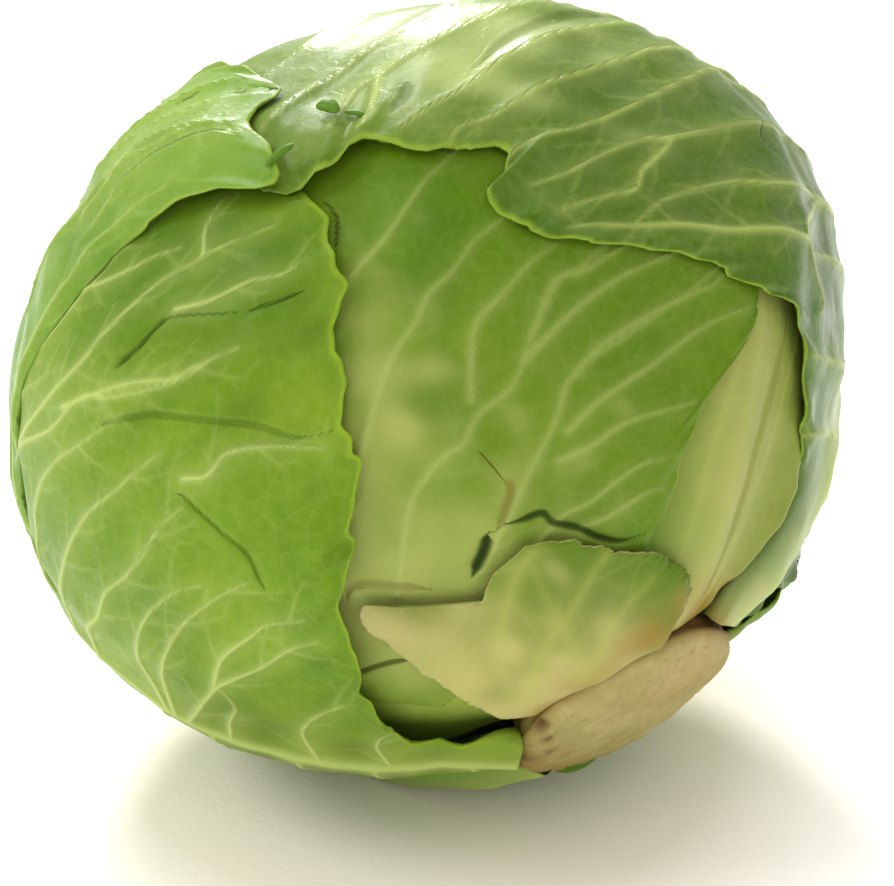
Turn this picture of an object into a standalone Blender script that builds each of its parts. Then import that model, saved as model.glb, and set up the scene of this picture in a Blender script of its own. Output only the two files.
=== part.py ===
"""A head of green cabbage, cut from its root and lying on its side.

The head is a flattened ball whose axis runs from the cut stump, low at the
front right, to the crown, high at the back left. Every leaf is a thin curved
shell that grows from beside the stump and wraps the leaves under it.

A place on the head is given by two angles in degrees: how far it is from the
stump's end of the axis, and how far round the axis it is, with 0 on top.
"""
import math

import bmesh
import bpy
import numpy as np
from mathutils import Matrix, Vector

# The head's axis, in degrees: how far the stump's end dips below level, and
# how far it swings from -Y towards +X.
STUMP_DIP = 32.4
STUMP_SWING = 33.6

# The dense inner head, in metres: its radius across the axis and along it.
HEART_RADIUS = 0.0885
HEART_POLE = 0.0785
HEART_RINGS = 16
HEART_SEGMENTS = 30

# The head's centre, which puts the finished part on the origin.
HEAD_CENTRE = np.array([0.0034, 0.0025, 0.0888])

# The inner head's lopsided growth: the angles of each swelling or hollow, its
# radius in degrees and its height in metres. The head also rests flattened, by
# a soft cut this far above the floor.
SWELLINGS = [
    (130, -88, 45, 0.0030),
    (86, 47, 24, 0.0044),
    (42, 80, 22, 0.0034),
    (66, 64, 18, -0.0028),
    (60, -150, 24, -0.0026),
    (36, -160, 18, -0.0020),
]
FLAT_ABOVE_FLOOR = 0.00865
FLAT_BLEND = 0.0007

# The cut stump: the angles of its axis, its cone's half angle, how far its two
# ends are from the head's centre, and its cut face's dome, raised in rings set
# in by these shares of the radius. The inner head and the leaves stay clear of
# it by a gap in metres and by angles in degrees.
STUMP_AXIS = (4.0, 160.0)
STUMP_HALF_ANGLE = 16.6
STUMP_INNER = 0.0665
STUMP_OUTER = 0.0860
STUMP_DOME = 0.0018
STUMP_RINGS = (0.25, 0.45)
STUMP_SEGMENTS = 26
HEART_TO_STUMP = 0.0006
STUMP_CLEARING = 11.0
LEAF_TO_STUMP = 0.9

# The leaves, in metres.
BLADE = 0.0014
EDGE_BLADE = 0.0009
LEAF_GAP = 0.00125
VEIN_RISE = 0.0006
DRAPE_START = 0.005
DRAPE_LENGTH = 0.020
MARGIN_WAVE = 0.0009
MARGIN_WAVES = 9.0
LATERAL_BOW = 0.10
MAP_SCALE = 0.092
PATH_STEPS = 40

# Each leaf, from the innermost out. A midrib is a list of (from stump, round
# axis) places. A leading margin, from base to tip, adds to each place the
# share of the midrib's length from which its side vein leaves, and how many
# millimetres the margin stands off the leaf below. A trailing margin has
# places and lifts only.
LEAVES = [
    dict(
        name="leaf_back_inner", colour=(0.33, 0.47, 0.12), veins=7, columns=6,
        rib=0.0020, rib_width=0.009,
        midrib=[(20, 178), (60, 178), (100, 178), (140, 178), (170, 178)],
        leading=[(20, 148, 0, 0), (35, 128, .12, 0), (60, 112, .3, 0), (90, 102, .5, 0),
                 (120, 92, .68, 0), (145, 70, .85, 0), (156, 30, .95, 0), (152, -12, 1, 0)],
        trailing=[(20, -155, 0), (35, -134, 0), (60, -122, 0), (90, -112, 0),
                  (120, -104, 0), (142, -88, 0), (152, -55, 0), (152, -12, 0)],
    ),
    dict(
        name="leaf_lower_inner", colour=(0.42, 0.58, 0.16), veins=3, columns=4,
        rib=0.0012, rib_width=0.008,
        midrib=[(18, -88), (40, -86), (65, -84), (84, -84)],
        leading=[(17, -60, 0, 0), (35, -50, .3, 0), (60, -50, .65, 0),
                 (82, -62, .92, 0), (95, -84, 1, 0)],
        trailing=[(19, -114, 0), (35, -124, 0), (60, -122, 0), (84, -106, 0), (95, -84, 0)],
    ),
    dict(
        name="leaf_right_inner", colour=(0.52, 0.58, 0.24), veins=5, columns=6,
        rib=0.0045, rib_width=0.0100,
        midrib=[(14, 4), (21, 12), (32, 14), (41, 14.5), (50, 17), (58, 19), (78, 22), (100, 25)],
        leading=[(14.5, 40, 0, 0), (22, 38.5, .08, 0), (31, 37.5, .18, 0), (39, 36, .27, 0),
                 (48, 38, .37, 0), (60, 46, .5, 0), (78, 52, .7, 0), (98, 50, .9, 0),
                 (116, 27, 1, 0)],
        trailing=[(14, -24, 0), (30, -30, 0), (50, -28, 0), (75, -24, 0), (100, -8, 0),
                  (116, 27, 0)],
    ),
    dict(
        name="leaf_centre", colour=(0.30, 0.48, 0.10), veins=7, columns=7,
        rib=0.0012, rib_width=0.013,
        midrib=[(28, -66), (44, -67), (60, -66), (80, -62), (104, -50)],
        leading=[(26, -8, 0, 0), (31, -7.5, .01, .3), (37, -3, .02, .8), (43, 0, .03, 1.2),
                 (46, 3, .04, 1.2), (50, 7, .05, 1.0), (55, 14, .07, .8), (60, 18, .1, 0),
                 (70, 21, .16, 0), (80, 21, .23, 0), (90, 17, .32, 0), (100, 8, .45, 0),
                 (110, -8, .65, 0), (116, -25, .85, 0), (118, -45, 1, 0)],
        trailing=[(30, -90, 0), (45, -95, 0), (62, -98, 0), (82, -96, 0), (102, -82, 0),
                  (118, -45, 0)],
    ),
    dict(
        name="leaf_centre_base", colour=(0.50, 0.58, 0.22), veins=3, columns=6,
        rib=0.0012, rib_width=0.014,
        midrib=[(12, -46), (20, -44), (30, -41), (38, -39)],
        leading=[(12.5, -8, 0, 0), (20, 1, .2, 0), (25, 3, .34, .4), (31, -9, .52, 1.0),
                 (33, -18, .64, 1.2), (36, -25, .76, 1.2), (39, -30, .88, 1.0),
                 (42, -38, 1, .8)],
        trailing=[(15, -90, 0), (22, -80, .5), (27, -74, .9), (38, -71, 1.2), (48, -67, 1.4),
                  (48.5, -62, 1.6), (45, -60, 1.6), (39, -52, 1.8), (42, -45, 1.6),
                  (42, -38, .8)],
    ),
    dict(
        name="leaf_left_wrapper", colour=(0.38, 0.56, 0.15), veins=8, columns=7,
        rib=0.0036, rib_width=0.009,
        midrib=[(18, -120), (30, -117), (50, -115), (75, -114), (100, -112), (112, -110)],
        leading=[(16.5, -106, 0, 0), (21, -98, .03, .8), (25, -98, .06, 1.5), (30, -95, .12, 1.0),
                 (35, -91, .18, 1.6), (41, -84, .26, 1.0), (43, -75, .32, 1.6),
                 (49, -69, .4, 1.4), (51, -64, .43, 1.2), (55, -57, .46, 1.6),
                 (62, -49, .53, 1.4), (65, -48, .57, 1.8), (73, -43, .66, 1.4),
                 (79, -39, .72, 1.4), (85, -37, .77, 1.2), (90, -37, .81, .5),
                 (94, -41, .86, 0), (100, -48, .9, 0), (104, -57, .93, 0), (107, -72, .96, 0),
                 (116, -100, 1, 0)],
        trailing=[(18, -134, 0), (30, -150, 0), (50, -163, 0), (75, -170, 0), (100, -163, 0),
                  (116, -140, 0), (116, -100, 0)],
    ),
    dict(
        name="leaf_top_wrapper", colour=(0.34, 0.53, 0.17), veins=10, columns=9,
        rib=0.0034, rib_width=0.009,
        midrib=[(17, 50), (24, 58), (35, 62), (50, 62), (75, 62), (100, 62), (125, 60),
                (145, 55)],
        leading=[(16, 41, 0, 0), (22, 40.5, .03, .3), (31, 40, .09, .5), (37, 38, .15, .8),
                 (42, 35, .2, 1.2), (48, 32, .26, 1.2), (55, 28, .31, 1.4), (59, 23, .34, 1.4),
                 (61, 15, .37, 1.2), (64, 8, .4, 1.0), (66, 2, .43, 1.0), (69, -8, .46, 1.2),
                 (72, -15, .5, 1.6), (76, -19, .535, 2.2), (79, -19.5, .6, 2.4),
                 (81, -16, .66, 1.2), (84, -15, .68, 1.0), (86, -21, .7, 1.6),
                 (88, -26, .76, 1.6), (91, -31, .82, .8), (93, -36, .85, 0),
                 (99, -42, .88, 0), (108, -47, .91, 0), (122, -54, .95, 0),
                 (138, -54, .98, 0), (154, 10, 1, 0)],
        trailing=[(18, 64, 0), (20, 75, 1.5), (27, 80, 2.0), (31, 76, 1.2), (36, 80, 2.0),
                  (45, 92, .5), (58, 104, 0), (75, 112, 0), (95, 115, 0), (115, 112, 0),
                  (135, 100, 0), (150, 70, 0), (154, 10, 0)],
    ),
    dict(
        name="leaf_back_right", colour=(0.31, 0.50, 0.13), veins=8, columns=7,
        rib=0.0036, rib_width=0.009,
        midrib=[(18, 122), (40, 124), (70, 126), (100, 124), (130, 112), (148, 85)],
        leading=[(18.5, 90, 0, 0), (30, 88, .08, .8), (45, 91, .2, 1.2), (60, 97, .35, 1),
                 (80, 98, .52, 1), (100, 91, .68, 1), (120, 78, .82, 1.2),
                 (138, 55, .93, 1.2), (156, 20, 1, 0)],
        trailing=[(19, 150, 0), (35, 162, 0), (55, 171, 0), (75, 177, 0), (95, -179, 0),
                  (115, -176, 0), (135, -172, 0), (155, -160, 0), (168, -90, 0),
                  (156, 20, 0)],
    ),
    dict(
        name="leaf_back_wrapper", colour=(0.36, 0.54, 0.17), veins=10, columns=9,
        rib=0.0036, rib_width=0.009,
        midrib=[(19, -165), (40, -163), (70, -160), (100, -157), (130, -148), (150, -125)],
        leading=[(19, -150, 0, 0), (35, -143, .1, .4), (55, -139, .24, .6), (75, -132, .38, .8),
                 (90, -121, .48, .6), (99, -100, .56, .8), (104, -78, .63, 1.0),
                 (103.5, -62, .69, 1.2), (101, -50, .74, 1.2), (96, -42, .78, 1.6),
                 (92.5, -38, .81, 1.8), (93.5, -35, .825, 1.8), (98, -34.5, .845, 1.2),
                 (103, -36, .865, .8), (107, -33, .88, .8), (116, -35, .91, 1.0),
                 (128, -40, .94, 1.2), (145, -50, .97, 1.2), (160, -50, 1, .6)],
        trailing=[(20, 176, 0), (35, 160, .5), (55, 151, .8), (80, 150, 1), (105, 154, 1),
                  (130, 158, 1), (150, 150, 1), (164, 100, 1), (168, 10, .8), (160, -50, .6)],
    ),
]


def axis_frame():
    """The unit vectors of the head's top side, of its turn and of its crown."""
    dip, swing = math.radians(STUMP_DIP), math.radians(STUMP_SWING)
    stump = np.array([math.sin(swing) * math.cos(dip), -math.cos(swing) * math.cos(dip),
                      -math.sin(dip)])
    crown = -stump
    top = np.array([0.0, 0.0, 1.0]) - crown[2] * crown
    top /= np.linalg.norm(top)
    return top, np.cross(crown, top), crown


TOP, TURN, CROWN = axis_frame()


def unit(vectors):
    """Vectors scaled to length one."""
    return vectors / np.linalg.norm(vectors, axis=-1, keepdims=True)


def direction(place):
    """The unit vectors from the head's centre to places on the head."""
    angles = np.radians(np.asarray(place, float))
    away, around = angles[..., 0:1], angles[..., 1:2]
    across = np.cos(around) * TOP + np.sin(around) * TURN
    return np.sin(away) * across - np.cos(away) * CROWN


def smooth_path(points, params):
    """Points on a curve through the given points, at parameters from 0 to their last index."""
    count = len(points)
    padded = np.vstack([2 * points[0] - points[1], points, 2 * points[-1] - points[-2]])
    start = np.clip(np.floor(params).astype(int), 0, count - 2)
    t = (params - start)[:, None]
    a, b, c, d = (padded[start + k] for k in range(4))
    tangent_b, tangent_c = (c - a) / 2, (d - b) / 2
    return ((2 * t**3 - 3 * t**2 + 1) * b + (t**3 - 2 * t**2 + t) * tangent_b
            + (3 * t**2 - 2 * t**3) * c + (t**3 - t**2) * tangent_c)


class Path:
    """A curve over the head, read by the share of its length."""

    def __init__(self, places):
        vectors = direction([place[:2] for place in places])
        self.params = np.linspace(0, len(places) - 1, PATH_STEPS * 3)
        self.vectors = unit(smooth_path(vectors, self.params))
        steps = np.linalg.norm(np.diff(self.vectors, axis=0), axis=1)
        self.length = np.sum(steps)
        self.share = np.concatenate([[0.0], np.cumsum(steps)]) / self.length
        self.knots = np.interp(np.arange(len(places)), self.params, self.share)

    def at(self, share):
        """Unit vectors at shares of the length."""
        columns = [np.interp(share, self.share, self.vectors[:, k]) for k in range(3)]
        return unit(np.stack(columns, axis=-1))


def smooth_step(value):
    """A soft ramp from 0 to 1."""
    t = np.clip(value, 0, 1)
    return t * t * t * (t * (6 * t - 15) + 10)


def distance_to_line(points, line):
    """How far 2D points are from a line of 2D points, and where along it from 0 to 1."""
    a, b = line[:-1], line[1:]
    edge = b - a
    length = np.sum(edge**2, axis=1)
    offset = points[:, None, :] - a[None]
    t = np.clip(np.sum(offset * edge, axis=2) / length, 0, 1)
    gap = np.linalg.norm(offset - t[..., None] * edge, axis=2)
    nearest = np.argmin(gap, axis=1)
    rows = np.arange(len(points))
    return gap[rows, nearest], (nearest + t[rows, nearest]) / len(a)


def inside(points, loop):
    """Whether 2D points are in a closed loop."""
    a, b = loop, np.roll(loop, -1, axis=0)
    x, y = points[:, 0:1], points[:, 1:2]
    crosses = (a[:, 1] > y) != (b[:, 1] > y)
    rise = np.where(b[:, 1] == a[:, 1], 1.0, b[:, 1] - a[:, 1])
    at_x = a[:, 0] + (y - a[:, 1]) * (b[:, 0] - a[:, 0]) / rise
    return np.sum(crosses & (x < at_x), axis=1) % 2 == 1


class Leaf:
    """A leaf's outline, its midrib and what it adds to the head's height."""

    def __init__(self, spec):
        self.spec = spec
        self.midrib = Path(spec["midrib"])
        self.sides = [Path(spec["leading"]), Path(spec["trailing"])]
        leading, trailing = self.sides
        self.veins_leave = np.array([place[2] for place in spec["leading"]], float)
        self.lifts = [np.array([place[-1] for place in spec[key]], float) * 0.001
                      for key in ("leading", "trailing")]
        share = np.linspace(0, 1, PATH_STEPS)
        loop = np.vstack([leading.at(share), trailing.at(share)[-2::-1]])
        self.centre = unit(loop.mean(axis=0) + self.midrib.at(np.array([0.5]))[0])
        self.east = unit(np.cross(self.centre, CROWN + 0.01 * TOP))
        self.north = np.cross(self.east, self.centre)
        self.loop = self.flat(loop)
        self.rib_line = self.flat(self.midrib.at(share))

    def flat(self, d):
        """Directions on a flat map round the leaf's centre, in metres."""
        angle = np.arccos(np.clip(d @ self.centre, -1, 1))
        x, y = d @ self.east, d @ self.north
        scale = MAP_SCALE * angle / np.maximum(np.hypot(x, y), 1e-9)
        return np.stack([x * scale, y * scale], axis=-1)

    def rib(self, d):
        """The midrib's height over the blade."""
        away, along = distance_to_line(self.flat(d), self.rib_line)
        width = self.spec["rib_width"] * (1.15 - 0.4 * along)
        return self.spec["rib"] * (1 - along) ** 1.6 * np.exp(-(away / width) ** 2)

    def cover(self, d):
        """One on and just round the leaf, falling smoothly to nought outside it."""
        points = self.flat(d)
        away = distance_to_line(points, np.vstack([self.loop, self.loop[:1]]))[0]
        outside = np.where(inside(points, self.loop), -away, away)
        return 1 - smooth_step((outside - DRAPE_START) / DRAPE_LENGTH)

    def rows(self, order):
        """Where rows at orders from 0 to 1 leave the midrib and reach both margins.

        The rows are even by what they pass on the midrib and the leading
        margin together, so neither has a wide step between two rows.
        """
        knots = self.sides[0].knots
        passed = knots * self.sides[0].length + self.veins_leave * self.midrib.length
        leave = np.interp(order * passed[-1], passed, self.veins_leave)
        lead = np.interp(order * passed[-1], passed, knots)
        return leave, [lead, (lead + leave) / 2]

    def lift(self, side, share):
        """How far a margin stands off, in metres, at shares of its length."""
        return np.interp(share, self.sides[side].knots, self.lifts[side])


def heart_level(d):
    """The inner head's radius in each direction, flattened where the head rests."""
    axial = d @ CROWN
    level = 1 / np.sqrt((1 - axial**2) / HEART_RADIUS**2 + axial**2 / HEART_POLE**2)
    for away, around, spread, height in SWELLINGS:
        angle = np.degrees(np.arccos(np.clip(d @ direction((away, around)), -1, 1)))
        level = level + height * np.exp(-(angle / spread) ** 2)
    flat = (HEAD_CENTRE[2] - FLAT_ABOVE_FLOOR) / np.maximum(-d[:, 2], 0.1)
    softer = np.minimum(level, flat)
    excess = np.exp(-np.abs(level - flat) / FLAT_BLEND)
    return softer - FLAT_BLEND * np.log1p(excess)


def clear_of_stump(d):
    """Directions turned away from the stump where they would come too near it."""
    axis = direction([STUMP_AXIS])[0]
    least = math.radians(STUMP_HALF_ANGLE + LEAF_TO_STUMP)
    cosine = d @ axis
    side = unit(d - cosine[:, None] * axis)
    turned = math.cos(least) * axis + math.sin(least) * side
    return np.where(cosine[:, None] > math.cos(least), turned, d)


def row_orders(rows):
    """Rows evenly from base to tip, and whether a side vein runs on each, as on every third."""
    order = np.arange(rows)
    return order / (rows - 1), (order % 3 == 2) & (order < rows - 2)


def leaf_points(leaf, stack):
    """A leaf's grid of directions with its inner and outer radius, row by row."""
    columns = leaf.spec["columns"]
    rows = 3 * leaf.spec["veins"] + 2
    order, crests = row_orders(rows)
    leave, reached = leaf.rows(order)
    start = leaf.midrib.at(leave)
    ahead = leaf.midrib.at(np.minimum(leave + 0.02, 1)) - leaf.midrib.at(np.maximum(leave - 0.02, 0))
    ahead = unit(ahead)
    across = np.linspace(0, 1, columns + 1) ** 0.9
    grid = {}
    for side, (path, share) in enumerate(zip(leaf.sides, reached)):
        end = path.at(share)
        reach = np.linalg.norm(end - start, axis=1, keepdims=True)
        fade = np.sin(math.pi * np.clip(share, 0, 1))[:, None]
        bend = (start + end) / 2 + ahead * reach * LATERAL_BOW * fade
        wave = MARGIN_WAVE * np.sin(2 * math.pi * MARGIN_WAVES * share) * np.sin(math.pi * share)
        for column, v in enumerate(across):
            point = (1 - v) ** 2 * start + 2 * v * (1 - v) * bend + v**2 * end
            point = clear_of_stump(unit(point + unit(end - start + 1e-9)
                                        * (wave / MAP_SCALE)[:, None] * v**6))
            rise = VEIN_RISE * crests * min(1.0, 4 * v) * (1 - v) ** 0.4
            thick = BLADE + (EDGE_BLADE - BLADE) * v**8 + leaf.rib(point)
            inner = stack_level(point, stack) + LEAF_GAP + leaf.lift(side, share) * v**5
            for row in range(rows):
                key = (row, column if side == 0 or row == rows - 1 else -column)
                grid[key] = (point[row], inner[row], inner[row] + thick[row] + rise[row])
    return grid, rows, columns


def stack_level(d, stack):
    """The radius of the head with the leaves so far, in each direction."""
    level = heart_level(d)
    for leaf in stack:
        level = level + leaf.cover(d) * (LEAF_GAP + BLADE + leaf.rib(d))
    return level


def leaf_mesh(leaf, stack):
    """A closed thin shell over the leaf's grid, with both faces split alike."""
    grid, rows, columns = leaf_points(leaf, stack)
    work = bmesh.new()
    outer, inner = {}, {}
    for key, (d, low, high) in grid.items():
        tops = HEAD_CENTRE + d * high
        tops[2] = max(tops[2], 0.0)
        outer[key] = work.verts.new(tops)
        inner[key] = work.verts.new(HEAD_CENTRE + d * low)
    last = rows - 1

    def key(row, column):
        return (row, abs(column)) if row == last else (row, column)

    def add(corners, out):
        layer = outer if out else inner
        face = [layer[corner] for corner in corners]
        work.faces.new(face if out else face[::-1])

    for row in range(last):
        for column in range(-columns, columns):
            a, b = key(row, column), key(row, column + 1)
            c, d = key(row + 1, column + 1), key(row + 1, column)
            halves = ((a, b, d), (b, c, d)) if column >= 0 else ((a, b, c), (a, c, d))
            for corners in halves:
                add(corners, True)
                add(corners, False)
    rim = [key(0, column) for column in range(-columns, columns)]
    rim += [key(row, columns) for row in range(last)]
    rim += [key(last, columns)]
    rim += [key(row, -columns) for row in range(last - 1, 0, -1)]
    for first, second in zip(rim, rim[1:] + rim[:1]):
        work.faces.new((inner[first], inner[second], outer[second]))
        work.faces.new((inner[first], outer[second], outer[first]))
    bmesh.ops.recalc_face_normals(work, faces=work.faces)
    return work


def heart_mesh():
    """A ball drawn to the inner head's form, cut flat behind the stump."""
    work = bmesh.new()
    bmesh.ops.create_uvsphere(work, u_segments=HEART_SEGMENTS, v_segments=HEART_RINGS, radius=1)
    turn = np.stack([TOP, TURN, CROWN])
    d = unit(np.array([vert.co for vert in work.verts]) @ turn)
    axis = direction([STUMP_AXIS])[0]
    behind = (STUMP_INNER - HEART_TO_STUMP) / np.maximum(d @ axis, 1e-6)
    beside = d @ axis > math.cos(math.radians(STUMP_HALF_ANGLE + STUMP_CLEARING))
    level = np.where(beside, np.minimum(heart_level(d), behind), heart_level(d))
    for vert, radius, way in zip(work.verts, level, d):
        vert.co = Vector(HEAD_CENTRE + way * radius)
    return work


def stump_mesh():
    """A short cone whose wide end is the cut face, a little domed."""
    work = bmesh.new()
    axis = Vector(direction([STUMP_AXIS])[0])
    spread = math.tan(math.radians(STUMP_HALF_ANGLE))
    depth = STUMP_OUTER - STUMP_INNER
    bmesh.ops.create_cone(work, cap_ends=True, segments=STUMP_SEGMENTS,
                          radius1=STUMP_INNER * spread, radius2=STUMP_OUTER * spread, depth=depth)
    cut = max(work.faces, key=lambda face: face.calc_center_median().z)
    for share in STUMP_RINGS:
        bmesh.ops.inset_region(work, faces=[cut], thickness=STUMP_OUTER * spread * share,
                               use_even_offset=False)
        for vert in cut.verts:
            vert.co.z += STUMP_DOME / len(STUMP_RINGS)
    middle = axis * (STUMP_INNER + STUMP_OUTER) / 2 + Vector(HEAD_CENTRE)
    place = Matrix.Translation(middle) @ axis.to_track_quat("Z", "Y").to_matrix().to_4x4()
    bmesh.ops.transform(work, matrix=place, verts=work.verts)
    return work


def material(name, colour, roughness):
    """A plain shader with one colour."""
    made = bpy.data.materials.new(name)
    made.use_nodes = True
    shader = made.node_tree.nodes["Principled BSDF"]
    shader.inputs["Base Color"].default_value = (*colour, 1)
    shader.inputs["Roughness"].default_value = roughness
    shader.inputs["Metallic"].default_value = 0
    return made


def add_object(name, work, look, collection):
    """An object of the finished mesh, in the part's collection."""
    bmesh.ops.triangulate(work, faces=[face for face in work.faces if len(face.verts) > 3])
    mesh = bpy.data.meshes.new(name)
    work.to_mesh(mesh)
    work.free()
    mesh.shade_smooth()
    mesh.materials.append(look)
    made = bpy.data.objects.new(name, mesh)
    collection.objects.link(made)
    return made


def main():
    for old in list(bpy.data.objects):
        bpy.data.objects.remove(old)
    collection = bpy.data.collections.new("cabbage")
    bpy.context.scene.collection.children.link(collection)
    add_object("heart", heart_mesh(), material("pale_heart", (0.62, 0.68, 0.34), 0.5), collection)
    add_object("stump", stump_mesh(), material("cut_stump", (0.55, 0.45, 0.24), 0.7), collection)
    stack = []
    for spec in LEAVES:
        leaf = Leaf(spec)
        look = material(spec["name"] + "_green", spec["colour"], 0.4)
        add_object(spec["name"], leaf_mesh(leaf, stack), look, collection)
        stack.append(leaf)


main()
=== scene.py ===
"""The looks of a head of green cabbage lying on its side, around its fixed frame.

The head is a flattened ball whose axis runs from the cut stump, low at the
front right, to the crown, high at the back left. A place on it is given by two
angles in degrees: how far it is from the stump's end of the axis, and how far
round the axis it is, with 0 on top. Every leaf is a fine closed shell over the
leaves under it, with its veins, puckers, torn edges and folds.
"""
import math

import bpy
import numpy as np
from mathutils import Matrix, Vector


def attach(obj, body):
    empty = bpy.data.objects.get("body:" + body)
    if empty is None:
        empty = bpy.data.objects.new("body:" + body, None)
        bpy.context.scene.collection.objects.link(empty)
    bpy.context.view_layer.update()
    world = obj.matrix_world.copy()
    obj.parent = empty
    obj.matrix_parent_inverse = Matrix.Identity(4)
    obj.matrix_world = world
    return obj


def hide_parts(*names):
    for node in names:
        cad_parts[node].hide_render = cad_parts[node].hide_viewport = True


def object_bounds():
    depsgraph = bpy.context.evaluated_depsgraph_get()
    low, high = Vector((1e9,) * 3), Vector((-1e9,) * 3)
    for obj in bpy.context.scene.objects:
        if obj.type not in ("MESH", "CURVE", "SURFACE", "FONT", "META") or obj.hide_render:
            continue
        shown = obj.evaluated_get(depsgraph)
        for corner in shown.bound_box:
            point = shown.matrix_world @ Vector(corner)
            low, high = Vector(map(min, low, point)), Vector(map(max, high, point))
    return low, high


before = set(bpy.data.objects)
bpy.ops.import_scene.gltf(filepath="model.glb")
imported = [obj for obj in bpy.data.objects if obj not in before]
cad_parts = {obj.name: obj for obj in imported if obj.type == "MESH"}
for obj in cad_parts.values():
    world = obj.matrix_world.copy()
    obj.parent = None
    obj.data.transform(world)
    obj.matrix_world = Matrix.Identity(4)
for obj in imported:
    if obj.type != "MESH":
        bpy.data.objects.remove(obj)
CAD_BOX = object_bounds()

# The head's form, as in the solids.
STUMP_DIP = 32.4
STUMP_SWING = 33.6
HEART_RADIUS = 0.0885
HEART_POLE = 0.0785
HEAD_CENTRE = np.array([0.0034, 0.0025, 0.0888])
SWELLINGS = [
    (130, -88, 45, 0.0030),
    (86, 47, 24, 0.0044),
    (42, 80, 22, 0.0034),
    (66, 64, 18, -0.0028),
    (60, -150, 24, -0.0026),
    (36, -160, 18, -0.0020),
]
FLAT_ABOVE_FLOOR = 0.00865
FLAT_BLEND = 0.0007
STUMP_AXIS = (4.0, 160.0)
STUMP_HALF_ANGLE = 16.6
STUMP_INNER = 0.0665
STUMP_OUTER = 0.0860
STUMP_DOME = 0.0018
LEAF_TO_STUMP = 0.9
BLADE = 0.0014
LEAF_GAP = 0.00125
DRAPE_START = 0.005
DRAPE_LENGTH = 0.020
LATERAL_BOW = 0.10
MAP_SCALE = 0.092
PATH_STEPS = 40

# The fine leaves, in metres. FAR is the squared share beyond every line, and
# TONE darkens every colour a little.
MM = 0.001
SKIN = 0.0008
EDGE_SKIN = 0.00045
FAR = 9.0
TONE = 0.8
TEAR_DEPTH = 0.6
TEAR_END = 0.25
TEAR_NEAR = 0.012
TEAR_TURN = 0.0016
TEAR_REACH = 0.0036
CLEAR = 0.0001
FLUSH_LIFT = 0.0006
FLUSH_SINK = 0.0006
RELIEF_LIMITS = (-0.0012, 0.00035)
RAGGED_FROM = 0.72
STALK_REACH = 0.013
LINE_STEP = 0.0012
BRANCH_STEPS = 8
RUFFLE_WAVE = 0.011
TINT_WAVE = 0.012

# Crumples: the wavelength, the size and the draw.
CRUMPLES = [(0.010, 0.00016, 3), (0.028, 0.00034, 4)]

# The stage, in metres, degrees, pixels and watts: each lamp's place, the height
# that it points at, its size and its power.
FLOOR_REACH = 6.0
# Within this distance of the point under the head the floor is painted as a warm shadow. The
# shadow fades to white over the next five centimetres, where the floor starts to glow.
PAINTED_SHADOW_REACH = 0.07
CAMERA_UP = 20
CAMERA_DISTANCE = 0.4813
FRAME_SIZE = (894, 886)
HEAD_IN_FRAME = (440, 393.5)
LAMPS = [
    ("key_behind", (-0.2, 1.2, 0.96), 0.14, 0.36, 18),
    ("key_top", (-0.45, 0.55, 1.4), 0.14, 0.5, 10),
    ("key_left", (-1.1, -0.35, 1.1), 0.08, 0.6, 7),
    ("fill_front", (-0.4, -1.6, 1.3), 0.0, 1.6, 9),
]

# Veins: the half width at the start and at the end, and the strength.
RIB_LINE = (0.0026, 0.0010, 1.0)
FIRST_LINE = (0.0007, 0.00045, 0.8)
SECOND_LINE = (0.0005, 0.0004, 0.45)
BROAD_LINE = (0.0042, 0.0026, 1.0)

# Side branches: how far apart they leave, how far they reach, and the least and
# the greatest angle between them and their vein, in degrees.
FIRST_BRANCHES = (0.0090, 0.0125, (34, 58))
SECOND_BRANCHES = (0.0042, 0.0052, (45, 75))

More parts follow.
